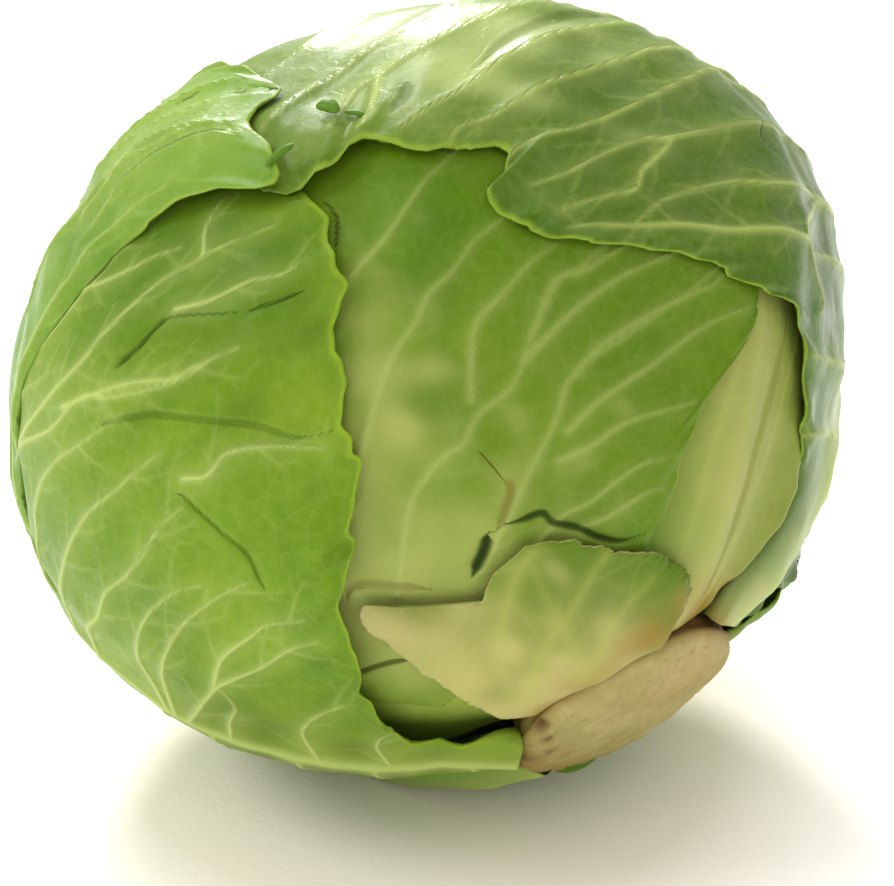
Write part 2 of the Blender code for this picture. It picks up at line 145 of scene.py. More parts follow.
# Each leaf's slot, look, cell size, height and half width of its veins, size and
# wavelength of its ragged margin, ruffle, midrib and stalk's pallor. Its midrib
# and margins are places; the leading margin's third number is how far along the
# midrib its line leaves, and a margin's last one its lift in millimetres.
LEAVES = [
    dict(name="back_inner", slot="leaf_inner", look="inner", cell=0.0026, ridge=0.3,
         vein=0.001, ragged=(0.0008, 0.01), ruffle=0.0004, rib=0.002, rib_width=0.009,
         midrib="20 178, 60 178, 100 178, 140 178, 170 178",
         leading="""20 148 0 0, 35 128 .12 0, 60 112 .3 0, 90 102 .5 0, 120 92 .68 0,
         145 70 .85 0, 156 30 .95 0, 152 -12 1 0""",
         trailing="""20 -155 0, 35 -134 0, 60 -122 0, 90 -112 0, 120 -104 0, 142 -88 0,
         152 -55 0, 152 -12 0"""),
    dict(name="lower_inner", slot="leaf_inner", look="inner", cell=0.0012, ridge=0.15,
         vein=0.0012, ragged=(0.0004, 0.01), ruffle=0.0002, rib=0.0012, rib_width=0.008,
         midrib="18 -88, 40 -86, 65 -84, 84 -84",
         leading="17 -60 0 0, 35 -50 .3 0, 60 -50 .65 0, 82 -62 .92 0, 95 -84 1 0",
         trailing="19 -114 0, 35 -124 0, 60 -122 0, 84 -106 0, 95 -84 0"),
    dict(name="right_inner", slot="leaf_pale", look="right", cell=0.0009, ridge=0.04,
         vein=0.0014, ragged=(0.0003, 0.012), ruffle=0.0002, rib=0.0045, rib_width=0.01,
         midrib="14 4, 21 12, 32 14, 41 14.5, 50 17, 58 19, 78 22, 100 25",
         leading="""14.5 34 0 .6, 20 37 .07 2, 26 41 .13 3.2, 32 42.5 .19 3.8, 38 42 .26 3.6,
         44 40 .32 2.4, 50 40 .39 .6, 60 46 .5 0, 78 52 .7 0, 98 50 .9 0, 116 27 1 0""",
         trailing="14 -24 0, 30 -30 0, 50 -28 0, 75 -24 0, 100 -8 0, 116 27 0"),
    dict(name="centre", slot="leaf_centre", look="centre", cell=0.00088, ridge=0.1,
         vein=0.0011, ragged=(0.0005, 0.009), ruffle=0.0003, rib=0.0012, rib_width=0.013,
         midrib="28 -66, 44 -67, 60 -66, 80 -62, 104 -50",
         leading="""26 -8 0 0, 31 -7.5 .01 .3, 37 -3 .02 .8, 43 0 .03 1.2, 46 3 .04 1.2,
         50 7 .05 1, 55 14 .07 .8, 60 18 .1 0, 70 21 .16 0, 80 21 .23 0, 90 17 .32 0,
         100 8 .45 0, 110 -8 .65 0, 116 -25 .85 0, 118 -45 1 0""",
         trailing="30 -90 0, 45 -95 0, 62 -98 0, 82 -96 0, 102 -82 0, 118 -45 0"),
    dict(name="centre_base", slot="leaf_pale", look="base", cell=0.0007, ridge=0.06,
         vein=0.0018, ragged=(0.0005, 0.006), ruffle=0.0002, rib=0.0012, rib_width=0.014,
         midrib="12 -46, 20 -44, 30 -41, 38 -39",
         leading="""12.5 -4 0 0, 19 3 .2 0, 24 3 .34 0, 29 -9 .52 .3, 31.5 -18 .64 .8,
         34.5 -25 .76 1, 38 -31 .88 1, 40.5 -38 1 .7""",
         trailing="""14 -99 0, 19 -90 .3, 24 -82 .7, 30 -76.5 1, 38 -72 1.1, 46 -69 1.3,
         47.5 -66 1.3, 44 -62 1.3, 38.5 -55 1.4, 37.5 -51 1.4, 39.5 -46 1.2, 40.5 -38 .7"""),
    dict(name="left_wrapper", slot="leaf_wrapper", look="left", cell=0.00088, ridge=0.3, stalk=0.3,
         vein=0.00085, ragged=(0.0009, 0.019), ruffle=0.0008, rib=0.0036, rib_width=0.009,
         midrib="18 -120, 30 -117, 50 -115, 75 -114, 100 -112, 112 -110",
         leading="""16.5 -105 0 0, 21 -97 .03 .2, 25 -98.5 .06 .6, 28.5 -100 .09 .3,
         32 -101 .13 .9, 35 -96.5 .17 .4, 37 -90 .21 1.1, 41 -84 .26 .5, 43 -76 .32 1.4,
         49 -69 .4 1.4, 51 -64 .43 1.2, 55 -57 .46 1.6, 62 -49 .53 1.4, 65 -48 .57 1.8,
         73 -43 .66 1.4, 79 -39 .72 1.4, 85 -37 .77 1.2, 90 -37 .81 .5, 97 -40 .86 0,
         104 -47 .9 0, 108 -57 .93 0, 110 -72 .96 0, 116 -100 1 0""",
         trailing="""18 -134 0, 30 -150 0, 50 -163 0, 75 -170 0, 100 -163 0, 116 -140 0,
         116 -100 0"""),
    dict(name="top_wrapper", slot="leaf_top", look="top", cell=0.00108, ridge=0.62,
         vein=0.001, ragged=(0.0007, 0.01), ruffle=0.0005, rib=0.0034, rib_width=0.009,
         midrib="17 50, 24 58, 35 62, 50 62, 75 62, 100 62, 125 60, 145 55",
         leading="""16 37 0 0, 20 39.5 .02 0, 26 43.5 .06 0, 31 45.5 .09 0, 37 43.5 .15 .1,
         42 39 .2 .5, 48 34 .26 .9, 55 29.5 .31 1.2, 59 24 .34 .9, 61 15 .37 .6, 64 8 .4 .5,
         66 2 .43 .6, 69 -8 .46 .8, 72 -15 .5 1.2, 76 -19 .535 1.9, 79 -19.5 .6 2.1,
         81 -16 .66 1, 84 -15 .68 .7, 86 -20.5 .7 .9, 88 -24.5 .74 .9, 91 -26.5 .77 1.3,
         92.3 -29.5 .79 1, 91.3 -33.5 .82 .7, 91.3 -38 .845 .3, 94 -41 .86 0, 99 -43 .88 0,
         108 -47 .91 0, 122 -54 .95 0, 138 -54 .98 0, 154 10 1 0""",
         trailing="""18 66 0, 20 77 3.2, 25 81 3.6, 29 77 2.6, 34 83 4.2, 38 84 2.6, 45 92 .5,
         58 104 0, 75 112 0, 95 115 0, 115 112 0, 135 100 0, 150 70 0, 154 10 0"""),
    dict(name="back_right", slot="leaf_wrapper", look="back", cell=0.0016, ridge=0.5,
         vein=0.0011, ragged=(0.001, 0.01), ruffle=0.0006, rib=0.0036, rib_width=0.009,
         midrib="18 122, 40 124, 70 126, 100 124, 130 112, 148 85",
         leading="""18.5 90 0 0, 30 88 .08 .8, 45 91 .2 1.2, 60 97 .35 1, 80 98 .52 1,
         100 91 .68 1, 120 78 .82 1.2, 138 55 .93 1.2, 156 20 1 0""",
         trailing="""19 150 0, 35 162 0, 55 171 0, 75 177 0, 95 -179 0, 115 -176 0, 135 -172 0,
         155 -160 0, 168 -90 0, 156 20 0"""),
    dict(name="back_wrapper", slot="leaf_wrapper", look="lobe", cell=0.00125, ridge=0.5,
         vein=0.001, ragged=(0.0008, 0.01), ruffle=0.0005, rib=0.0036, rib_width=0.009,
         midrib="19 -165, 40 -163, 70 -160, 100 -157, 130 -148, 150 -125",
         leading="""19 -150 0 0, 35 -143 .1 0, 55 -139 .24 0, 75 -132 .38 0, 90 -121 .48 0,
         98 -100 .56 0, 102 -80 .63 0, 102 -62 .69 .1, 99.5 -52 .74 .5, 97 -46.5 .77 .8,
         94 -43 .795 1, 92 -40.5 .81 1.2, 93 -38.2 .825 1.2, 98 -37.8 .845 .8, 103 -38.5 .86 .3,
         105.5 -36.5 .87 .2, 107 -33 .88 .3, 116 -35 .91 .5, 128 -40 .94 .6, 145 -50 .97 .6,
         160 -50 1 .3""",
         trailing="""20 176 0, 35 160 .5, 55 151 .8, 80 150 1, 105 154 1, 130 158 1, 150 150 1,
         164 100 1, 168 10 .8, 160 -50 .6"""),
]


def table(text):
    """Rows of numbers from text, with commas between rows."""
    return [tuple(float(number) for number in row.split()) for row in text.split(",")]


def axis_frame():
    """The unit vectors of the head's top side, of its turn and of its crown."""
    dip, swing = math.radians(STUMP_DIP), math.radians(STUMP_SWING)
    stump = np.array([math.sin(swing) * math.cos(dip), -math.cos(swing) * math.cos(dip),
                      -math.sin(dip)])
    crown = -stump
    top = np.array([0.0, 0.0, 1.0]) - crown[2] * crown
    top /= np.linalg.norm(top)
    return top, np.cross(crown, top), crown


TOP, TURN, CROWN = axis_frame()


def unit(vectors):
    """Vectors scaled to length one."""
    return vectors / np.linalg.norm(vectors, axis=-1, keepdims=True)


def direction(place):
    """The unit vectors from the head's centre to places on the head."""
    angles = np.radians(np.asarray(place, float))
    away, around = angles[..., 0:1], angles[..., 1:2]
    across = np.cos(around) * TOP + np.sin(around) * TURN
    return np.sin(away) * across - np.cos(away) * CROWN


def smooth_path(points, params):
    """Points on a curve through the given points, at parameters from 0 to their last index."""
    count = len(points)
    padded = np.vstack([2 * points[0] - points[1], points, 2 * points[-1] - points[-2]])
    start = np.clip(np.floor(params).astype(int), 0, count - 2)
    t = (params - start)[:, None]
    a, b, c, d = (padded[start + k] for k in range(4))
    tangent_b, tangent_c = (c - a) / 2, (d - b) / 2
    return ((2 * t**3 - 3 * t**2 + 1) * b + (t**3 - 2 * t**2 + t) * tangent_b
            + (3 * t**2 - 2 * t**3) * c + (t**3 - t**2) * tangent_c)


class Path:
    """A curve over the head, read by the share of its length."""

    def __init__(self, places):
        vectors = direction([place[:2] for place in places])
        self.params = np.linspace(0, len(places) - 1, PATH_STEPS * 3)
        self.vectors = unit(smooth_path(vectors, self.params))
        steps = np.linalg.norm(np.diff(self.vectors, axis=0), axis=1)
        self.length = np.sum(steps)
        self.share = np.concatenate([[0.0], np.cumsum(steps)]) / self.length
        self.knots = np.interp(np.arange(len(places)), self.params, self.share)

    def at(self, share):
        """Unit vectors at shares of the length."""
        columns = [np.interp(share, self.share, self.vectors[:, k]) for k in range(3)]
        return unit(np.stack(columns, axis=-1))


def smooth_step(value):
    """A soft ramp from 0 to 1."""
    t = np.clip(value, 0, 1)
    return t * t * t * (t * (6 * t - 15) + 10)


def distance_to_line(points, line):
    """How far 2D points are from a line of 2D points, and where along it from 0 to 1."""
    a = line[:-1].astype(np.float32)
    edge = np.diff(line, axis=0).astype(np.float32)
    ax, ay, ex, ey = a[:, 0], a[:, 1], edge[:, 0], edge[:, 1]
    inverse = 1 / np.maximum(ex * ex + ey * ey, 1e-14)
    x, y = points[:, 0].astype(np.float32), points[:, 1].astype(np.float32)
    gaps, shares = np.empty(len(points)), np.empty(len(points))
    for first in range(0, len(points), 2048):
        last = first + 2048
        ox, oy = x[first:last, None] - ax, y[first:last, None] - ay
        t = (ox * ex + oy * ey) * inverse
        np.clip(t, 0, 1, out=t)
        ox -= t * ex
        oy -= t * ey
        ox *= ox
        oy *= oy
        ox += oy
        nearest = ox.argmin(axis=1)
        rows = np.arange(len(nearest))
        gaps[first:last] = np.sqrt(ox[rows, nearest])
        shares[first:last] = (nearest + t[rows, nearest]) / len(a)
    return gaps, shares


def inside(points, loop):
    """Whether 2D points are in a closed loop."""
    x, y = points[:, 0], points[:, 1]
    within = np.zeros(len(points), bool)
    for (ax, ay), (bx, by) in zip(loop, np.roll(loop, -1, axis=0)):
        if ay != by:
            within ^= ((ay > y) != (by > y)) & (x < ax + (y - ay) * (bx - ax) / (by - ay))
    return within


class Leaf:
    """A leaf's outline, its midrib and what it adds to the head's height."""

    def __init__(self, spec, seed):
        self.spec, self.seed = spec, seed
        margins = [table(spec["leading"]), table(spec["trailing"])]
        self.midrib = Path(table(spec["midrib"]))
        self.sides = leading, trailing = [Path(margin) for margin in margins]
        self.veins_leave = np.array([place[2] for place in margins[0]])
        self.lifts = [np.array([place[-1] for place in margin]) * MM for margin in margins]
        share = np.linspace(0, 1, PATH_STEPS)
        loop = np.vstack([leading.at(share), trailing.at(share)[-2::-1]])
        self.centre = unit(loop.mean(axis=0) + self.midrib.at(np.array([0.5]))[0])
        self.east = unit(np.cross(self.centre, CROWN + 0.01 * TOP))
        self.north = np.cross(self.east, self.centre)
        self.loop = self.flat(loop)
        self.rib_line = self.flat(self.midrib.at(share))

    def flat(self, d):
        """Directions on a flat map round the leaf's centre, in metres."""
        angle = np.arccos(np.clip(d @ self.centre, -1, 1))
        x, y = d @ self.east, d @ self.north
        scale = MAP_SCALE * angle / np.maximum(np.hypot(x, y), 1e-9)
        return np.stack([x * scale, y * scale], axis=-1)

    def rib(self, d):
        """The midrib's height over the blade."""
        away, along = distance_to_line(self.flat(d), self.rib_line)
        width = self.spec["rib_width"] * (1.15 - 0.4 * along)
        return self.spec["rib"] * (1 - along) ** 1.6 * np.exp(-(away / width) ** 2)

    def cover(self, d):
        """One on and just round the leaf, falling smoothly to nought outside it."""
        points = self.flat(d)
        away = distance_to_line(points, np.vstack([self.loop, self.loop[:1]]))[0]
        outside = np.where(inside(points, self.loop), -away, away)
        return 1 - smooth_step((outside - DRAPE_START) / DRAPE_LENGTH)

    def rows(self, order):
        """Where rows at orders from 0 to 1 leave the midrib and reach both margins."""
        knots = self.sides[0].knots
        passed = knots * self.sides[0].length + self.veins_leave * self.midrib.length
        leave = np.interp(order * passed[-1], passed, self.veins_leave)
        lead = np.interp(order * passed[-1], passed, knots)
        return leave, [lead, (lead + leave) / 2]

    def lift(self, side, share):
        """How far a margin stands off, in metres, at shares of its length."""
        return np.interp(share, self.sides[side].knots, self.lifts[side])


def heart_level(d):
    """The inner head's radius in each direction, flattened where the head rests."""
    axial = d @ CROWN
    level = 1 / np.sqrt((1 - axial**2) / HEART_RADIUS**2 + axial**2 / HEART_POLE**2)
    for away, around, spread, height in SWELLINGS:
        angle = np.degrees(np.arccos(np.clip(d @ direction((away, around)), -1, 1)))
        level = level + height * np.exp(-(angle / spread) ** 2)
    flat = (HEAD_CENTRE[2] - FLAT_ABOVE_FLOOR) / np.maximum(-d[:, 2], 0.1)
    softer = np.minimum(level, flat)
    excess = np.exp(-np.abs(level - flat) / FLAT_BLEND)
    return softer - FLAT_BLEND * np.log1p(excess)


def clear_of_stump(d):
    """Directions turned away from the stump where they would come too near it."""
    axis = direction([STUMP_AXIS])[0]
    least = math.radians(STUMP_HALF_ANGLE + LEAF_TO_STUMP)
    cosine = d @ axis
    side = unit(d - cosine[:, None] * axis)
    turned = math.cos(least) * axis + math.sin(least) * side
    return np.where(cosine[:, None] > math.cos(least), turned, d)


def stack_level(d, stack):
    """The radius of the head with the leaves so far, in each direction."""
    level = heart_level(d)
    for leaf in stack:
        level = level + leaf.cover(d) * (LEAF_GAP + BLADE + leaf.rib(d))
    return level


def ripple(points, wavelength, seed, count=14):
    """A smooth random field over points in metres, about -1 to 1."""
    draw = np.random.default_rng(seed)
    ways = unit(draw.normal(size=(count, points.shape[-1])))
    sizes = 2 * math.pi / (wavelength * draw.uniform(0.7, 1.4, count))
    phases = draw.uniform(0, 2 * math.pi, count)
    waves = np.cos(points @ (ways * sizes[:, None]).T + phases)
    return waves.sum(axis=-1) / math.sqrt(count)


def ripple_along(values, wavelength, seed):
    """A smooth random field over lengths in metres, about -1 to 1."""
    return ripple(np.asarray(values, float)[:, None], wavelength, seed, 9)


def lateral(leaf, side, order, across):
    """Directions along the lines that run from the midrib to a margin, a row for each order."""
    leave, reached = leaf.rows(order)
    start = leaf.midrib.at(leave)
    ahead = unit(leaf.midrib.at(np.minimum(leave + 0.02, 1))
                 - leaf.midrib.at(np.maximum(leave - 0.02, 0)))
    share = reached[side]
    end = leaf.sides[side].at(share)
    reach = np.linalg.norm(end - start, axis=1, keepdims=True)
    fade = np.sin(math.pi * np.clip(share, 0, 1))[:, None]
    bend = (start + end) / 2 + ahead * reach * LATERAL_BOW * fade
    size, wavelength = leaf.spec["ragged"]
    length = share * leaf.sides[side].length * MAP_SCALE
    cut = size * (ripple_along(length, wavelength, leaf.seed + side)
                  + 0.5 * ripple_along(length, wavelength / 3, leaf.seed + side + 7))
    cut = cut * np.clip(4 * share, 0, 1) * np.clip(4 * (1 - share), 0, 1)
    extend = (cut / np.maximum(reach[:, 0] * MAP_SCALE, 0.004))[:, None]
    v = across[None, :] + extend * smooth_step((across[None, :] - RAGGED_FROM) / (1 - RAGGED_FROM))
    v = v[..., None]
    points = ((1 - v) ** 2 * start[:, None] + 2 * v * (1 - v) * bend[:, None]
              + v**2 * end[:, None])
    return unit(points), share


def fine_line(places, leaf):
    """A smooth line over the leaf's flat map through places on the head."""
    points = leaf.flat(direction(places))
    length = np.sum(np.linalg.norm(np.diff(points, axis=0), axis=1))
    params = np.linspace(0, len(points) - 1, max(4, int(length / LINE_STEP)))
    return smooth_path(points, params)


def branches(line, draw, spacing, reach, opening):
    """Side branches that leave a vein alternately and bend its way."""
    steps = np.linalg.norm(np.diff(line, axis=0), axis=1)
    along = np.concatenate([[0.0], np.cumsum(steps)])
    place, side, made = spacing * draw.uniform(0.3, 1.0), draw.choice([-1, 1]), []
    while place < along[-1] * 0.97:
        spot = np.array([np.interp(place, along, line[:, k]) for k in range(2)])
        further = np.array([np.interp(place + 0.002, along, line[:, k]) for k in range(2)])
        heading = math.atan2(*(further - spot)[::-1])
        turn = side * math.radians(draw.uniform(*opening))
        length = reach * draw.uniform(0.55, 1.2)
        points = [spot]
        bend = draw.uniform(0.86, 0.97)
        for _ in range(BRANCH_STEPS):
            angle = heading + turn
            step = np.array([math.cos(angle), math.sin(angle)]) * length / BRANCH_STEPS
            points.append(points[-1] + step)
            turn *= bend
        made.append(np.array(points))
        side = -side
        place += spacing * draw.uniform(0.6, 1.5)
    return made


def nearness(points, lines, field):
    """Lowers a field to the squared share of each line's width that a point lies away."""
    for line, wide, narrow, strength in lines:
        near = max(wide, narrow) * 3
        low, high = line.min(axis=0) - near, line.max(axis=0) + near
        picked = np.nonzero(np.all((points > low) & (points < high), axis=1))[0]
        if len(picked) == 0:
            continue
        away, along = distance_to_line(points[picked], line)
        width = wide + (narrow - wide) * along
        value = (away / width) ** 2 - math.log(strength) + 0.7 * along**3
        field[picked] = np.minimum(field[picked], value)
    return field


def side_of_line(points, line):
    """Signed distances of 2D points from a line: positive on its left."""
    away, along = distance_to_line(points, line)
    place = np.clip(along * (len(line) - 1), 0, len(line) - 1.001)
    first = np.floor(place).astype(int)
    edge = line[first + 1] - line[first]
    offset = points - line[first]
    sign = np.sign(edge[:, 0] * offset[:, 1] - edge[:, 1] * offset[:, 0])
    return away * sign, along


def fade_ends(along):
    """One along a line, falling to nought at both its ends."""
    return smooth_step(along / TEAR_END) * smooth_step((1 - along) / TEAR_END)


def shell_faces(rows, columns):
    """The faces of a closed leaf shell: fine outside, a third as fine inside, and the wall round
    its edge.
    """
    wide = 2 * columns + 1
    fine = np.arange((rows + 1) * wide).reshape(rows + 1, wide)
    fine[rows, :columns] = fine[rows, :columns:-1]
    coarse_rows, coarse_columns = rows // 3, 2 * columns // 3
    coarse = fine.size + np.arange((coarse_rows + 1) * (coarse_columns + 1))
    coarse = coarse.reshape(coarse_rows + 1, coarse_columns + 1)
    middle = coarse_columns // 2
    coarse[coarse_rows, :middle] = coarse[coarse_rows, :middle:-1]
    out = np.stack([fine[:-1, :-1], fine[:-1, 1:], fine[1:, 1:], fine[1:, :-1]], axis=-1)
    back = np.stack([coarse[:-1, :-1], coarse[1:, :-1], coarse[1:, 1:], coarse[:-1, 1:]],
                    axis=-1)
    border = [(0, j) for j in range(wide)] + [(i, wide - 1) for i in range(1, rows + 1)]
    border += [(i, 0) for i in range(rows - 1, -1, -1)]
    walls = []
    for k in range(0, len(border) - 1, 3):
        f = [fine[border[k + step]] for step in range(4)]
        p = coarse[border[k][0] // 3, border[k][1] // 3]
        q = coarse[border[k + 3][0] // 3, border[k + 3][1] // 3]
        walls += [(p, f[1], f[0]), (p, f[2], f[1]), (p, q, f[2]), (q, f[3], f[2])]
    return out.reshape(-1, 4), back.reshape(-1, 4), np.array(walls)


def split_faces(points, quads):
    """Each four-sided face cut in two along its shorter diagonal."""
    a, b, c, d = quads.T
    spans = [np.linalg.norm(points[p] - points[q], axis=1) for p, q in ((a, c), (b, d))]
    first = (spans[0] < spans[1])[:, None]
    ones = np.where(first, np.stack([a, b, c], -1), np.stack([a, b, d], -1))
    twos = np.where(first, np.stack([a, c, d], -1), np.stack([b, c, d], -1))
    return np.vstack([ones, twos])


def make_piece(name, material, points, quads, triangles, attributes):
    """A piece of the given faces, with a float value at each point for each attribute."""
    triangles = np.vstack([split_faces(points, quads), triangles])
    used = np.unique(triangles)
    renumber = np.zeros(len(points), int)
    renumber[used] = np.arange(len(used))
    mesh = bpy.data.meshes.new(name)
    mesh.from_pydata(points[used].tolist(), [], renumber[triangles].tolist())
    for key, values in attributes.items():
        layer = mesh.attributes.new(key, "FLOAT", "POINT")
        layer.data.foreach_set("value", np.ascontiguousarray(values[used], np.float32))
    mesh.shade_smooth()
    mesh.materials.append(material)
    made = bpy.data.objects.new(name, mesh)
    bpy.context.scene.collection.objects.link(made)
    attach(made, "root")
    return made


# Main veins traced over each leaf, a line of places each.
VEINS = {
    "top_wrapper": """
    91 -24, 92 -20, 93 -15, 96 -7, 98 -1, 100 10, 105 34, 109 60
    86 -21, 88 -18, 88 -13, 90 -6, 91 1, 93 9, 95 16, 99 38, 102 60
    82 -16, 83 -12, 83 -6, 84 1, 86 7, 89 15, 93 26, 95 42, 96 60
    78 -14, 78 -9, 79 -4, 80 2, 80 7, 82 19, 85 38, 88 60
    70 -4, 72 1, 73 7, 74 15, 74 21, 76 34, 78 46, 80 60
    74 -12, 74 -7, 74 -2, 76 0, 78 4, 80 7
    72 -12, 70 -4, 69 3, 68 10, 68 20, 68 28
    60 34, 62 36, 65 32, 68 29, 70 29, 72 32, 76 38, 77 46
    67 31, 69 40, 71 50, 73 60
    94 -28, 95 -26, 98 -24, 101 -22
    96 -31, 99 -28, 101 -25, 101 -22, 102 -18, 103 -12, 105 -6, 107 1, 112 28, 117 58
    101 -38, 103 -35, 105 -31, 106 -26, 108 -20, 109 -15, 111 -9, 119 22, 124 57
    112 -38, 115 -29, 119 -21, 122 -10, 128 20, 133 54
    54 32, 56 44, 60 60
    44 37, 47 48, 50 60""",
    "back_wrapper": """
    111 -82, 115 -75, 113 -63, 112 -55, 109 -46, 104 -40
    100 -95, 103 -84, 105 -72, 105 -62, 103 -55, 101 -50
    117 -76, 119 -68, 118 -58, 115 -48, 111 -40
    122 -66, 122 -54, 119 -45, 115 -38
    128 -60, 131 -50, 127 -42, 122 -37
    108 -62, 108 -54, 107 -49, 105 -44, 101 -40
    112 -64, 111 -58, 111 -54, 109 -51, 108 -47, 106 -42
    136 -60, 140 -48, 136 -38
    99 -62, 99 -54, 97 -48
    92 -118, 98 -104, 104 -92, 110 -84
    84 -124, 90 -118, 99 -108, 108 -96""",
    "left_wrapper": """
    88 -112, 90 -94, 89 -85, 86 -77, 84 -71
    82 -113, 83 -103, 82 -92, 81 -85, 79 -78, 78 -73, 77 -69
    77 -114, 78 -107, 76 -101, 75 -94, 73 -88, 72 -82, 72 -77, 71 -72
    65 -114, 68 -105, 69 -101, 69 -95, 68 -89, 66 -83, 64 -80
    64 -114, 65 -106, 65 -98, 64 -89, 62 -81, 60 -75
    58 -100, 58 -91, 56 -83, 55 -79, 52 -73
    62 -114, 58 -100, 56 -95, 53 -88, 51 -80, 49 -75
    57 -99, 55 -103, 56 -109, 56 -114
    73 -69, 71 -66, 71 -62, 68 -57, 64 -52
    104 -104, 102 -89, 98 -80, 95 -74
    100 -112, 98 -94, 92 -82, 90 -74, 87 -71, 83 -65, 81 -61, 80 -57
    106 -96, 103 -86, 102 -76, 102 -69, 102 -63, 102 -56, 102 -50
    98 -92, 95 -80, 93 -71, 93 -67, 93 -61, 93 -57, 92 -52, 91 -48, 90 -45, 89 -42
    103 -69, 100 -64, 98 -60, 97 -57, 95 -53
    92 -51, 95 -49, 97 -46
    88 -57, 86 -53, 85 -48, 83 -44, 83 -42
    92 -78, 88 -71, 85 -66, 82 -62, 81 -59, 80 -56, 79 -53
    44 -115, 46 -106, 45 -98, 42 -90
    34 -117, 36 -108, 36 -101, 34 -96""",
    "centre": """
    70 -60, 77 -42, 79 -38, 80 -34, 81 -31, 83 -27, 85 -23, 89 -12
    56 -60, 64 -45, 66 -42, 68 -39, 69 -37, 70 -34, 72 -31, 73 -27, 75 -23, 76 -19, 79 -10
    45 -62, 52 -50, 54 -45, 55 -40, 55 -37, 57 -33, 58 -27, 62 -22, 64 -19, 67 -15, 68 -11, 71 -3
    40 -48, 46 -34, 49 -28, 52 -23, 55 -20, 56 -18, 57 -15, 58 -9, 61 2, 66 14
    38 -40, 40 -29, 40 -23, 41 -17, 42 -11, 42 -3
    47 -25, 47 -19, 48 -13, 48 -7, 48 2
    37 -26, 37 -19, 38 -11, 38 -6
    62 -22, 67 -16, 67 -12, 68 -7, 69 -3
    60 -24, 63 -15, 65 -7, 66 0, 67 6
    56 -18, 58 -13, 60 -3, 61 3, 62 8, 64 12
    50 -22, 52 -15, 54 -5, 57 5, 59 15
    59 -33, 66 -28, 68 -23, 70 -18, 71 -14""",
    "centre_base": """
    20 -70, 26 -50, 31 -30, 34 -20
    22 -74, 30 -58, 37 -44, 40 -36
    17 -50, 22 -30, 26 -12""",
    "right_inner": """
    16 22, 26 27, 38 27, 50 30, 62 34
    18 -6, 30 4, 42 8, 54 14""",
    "lower_inner": """
    20 -80, 34 -72, 48 -66
    20 -88, 40 -82, 60 -78""",
}

# Tears, slits and creases: places along each, then its half width, its depth,
# the rise of the blade on its left and on its right, all in millimetres, how
# much painted shade darkens it inside, and how brown it is.
TEARS = {
    "left_wrapper": """
    89 -69, 88 -64, 88 -60, 88 -58: .8 1.6 .9 .2 .7 0
    88 -59, 87 -57, 84 -53, 82 -50: .4 .5 .6 .2 .35 .1
    82 -50, 81 -47, 80 -43: .6 1 .5 .1 .6 0
    86 -75, 85 -73, 83 -70, 81 -67, 78 -64, 74 -60, 71 -57, 67 -54, 65 -50: .7 .9 0 .9 .32 0
    73 -72, 72 -71, 70 -71, 66 -71, 62 -71, 59 -73, 57 -74: .5 .7 .3 .1 .4 0
    92 -103, 89 -106, 85 -110: .7 1.3 .5 0 .3 0""",
    "centre": """
    54 -37, 53 -36, 51 -35.5, 49 -35: .35 .4 .2 0 .3 .7
    49 -35, 47.5 -34.5, 46.5 -35.5, 45 -38, 43.5 -41: .9 .4 .4 .2 0 .55
    44 -42, 42 -45, 40 -50: 1.3 1.6 .2 0 .95 0
    44 -40, 43 -36, 42 -32, 40 -31, 37.5 -27, 34.5 -23, 32.5 -18, 32 -11: .8 1.3 .4 0 .85 0
    49 -69, 50 -66, 48 -63, 45 -60, 42 -57: .8 .4 .3 0 0 .4
    45 -86, 43 -84, 41 -80, 39 -76, 37 -73: .6 .9 .3 0 .6 .3
    90 -36, 87 -35.5, 85 -36.5, 82 -38.5: .5 .7 .2 0 .6 .4""",
    "top_wrapper": """
    84 26, 81 24, 79 27: .5 .6 .3 0 .5 .2
    98 -20, 96 -21, 94 -24: 1.6 .8 .3 .2 .35 0
    96 -12, 101 -2, 104 8, 103 14: 2.2 .9 0 .2 .3 0""",
    "back_wrapper": """
    111.5 -38, 109.5 -35.5, 107.5 -33: 1.4 1.8 .4 0 1 0
    109 -59, 108 -54, 107 -49, 105 -44, 102 -40: 1.1 .9 .5 0 .55 0
    113 -55, 112 -51, 111 -48, 110 -43, 109 -40: .7 .7 .3 .1 .45 0
    120 -54, 118 -47, 116 -43: .6 .5 .2 0 .35 0
    118 -47, 117 -44, 116 -42: 1.2 .5 0 0 .6 0
    117 -76, 115 -68, 115 -61, 117 -57: .7 .6 .2 0 .3 0""",
    "right_inner": """
    20 19, 31 21, 41 22, 50 25, 58 28: 1.6 .3 0 0 .08 .12""",
}

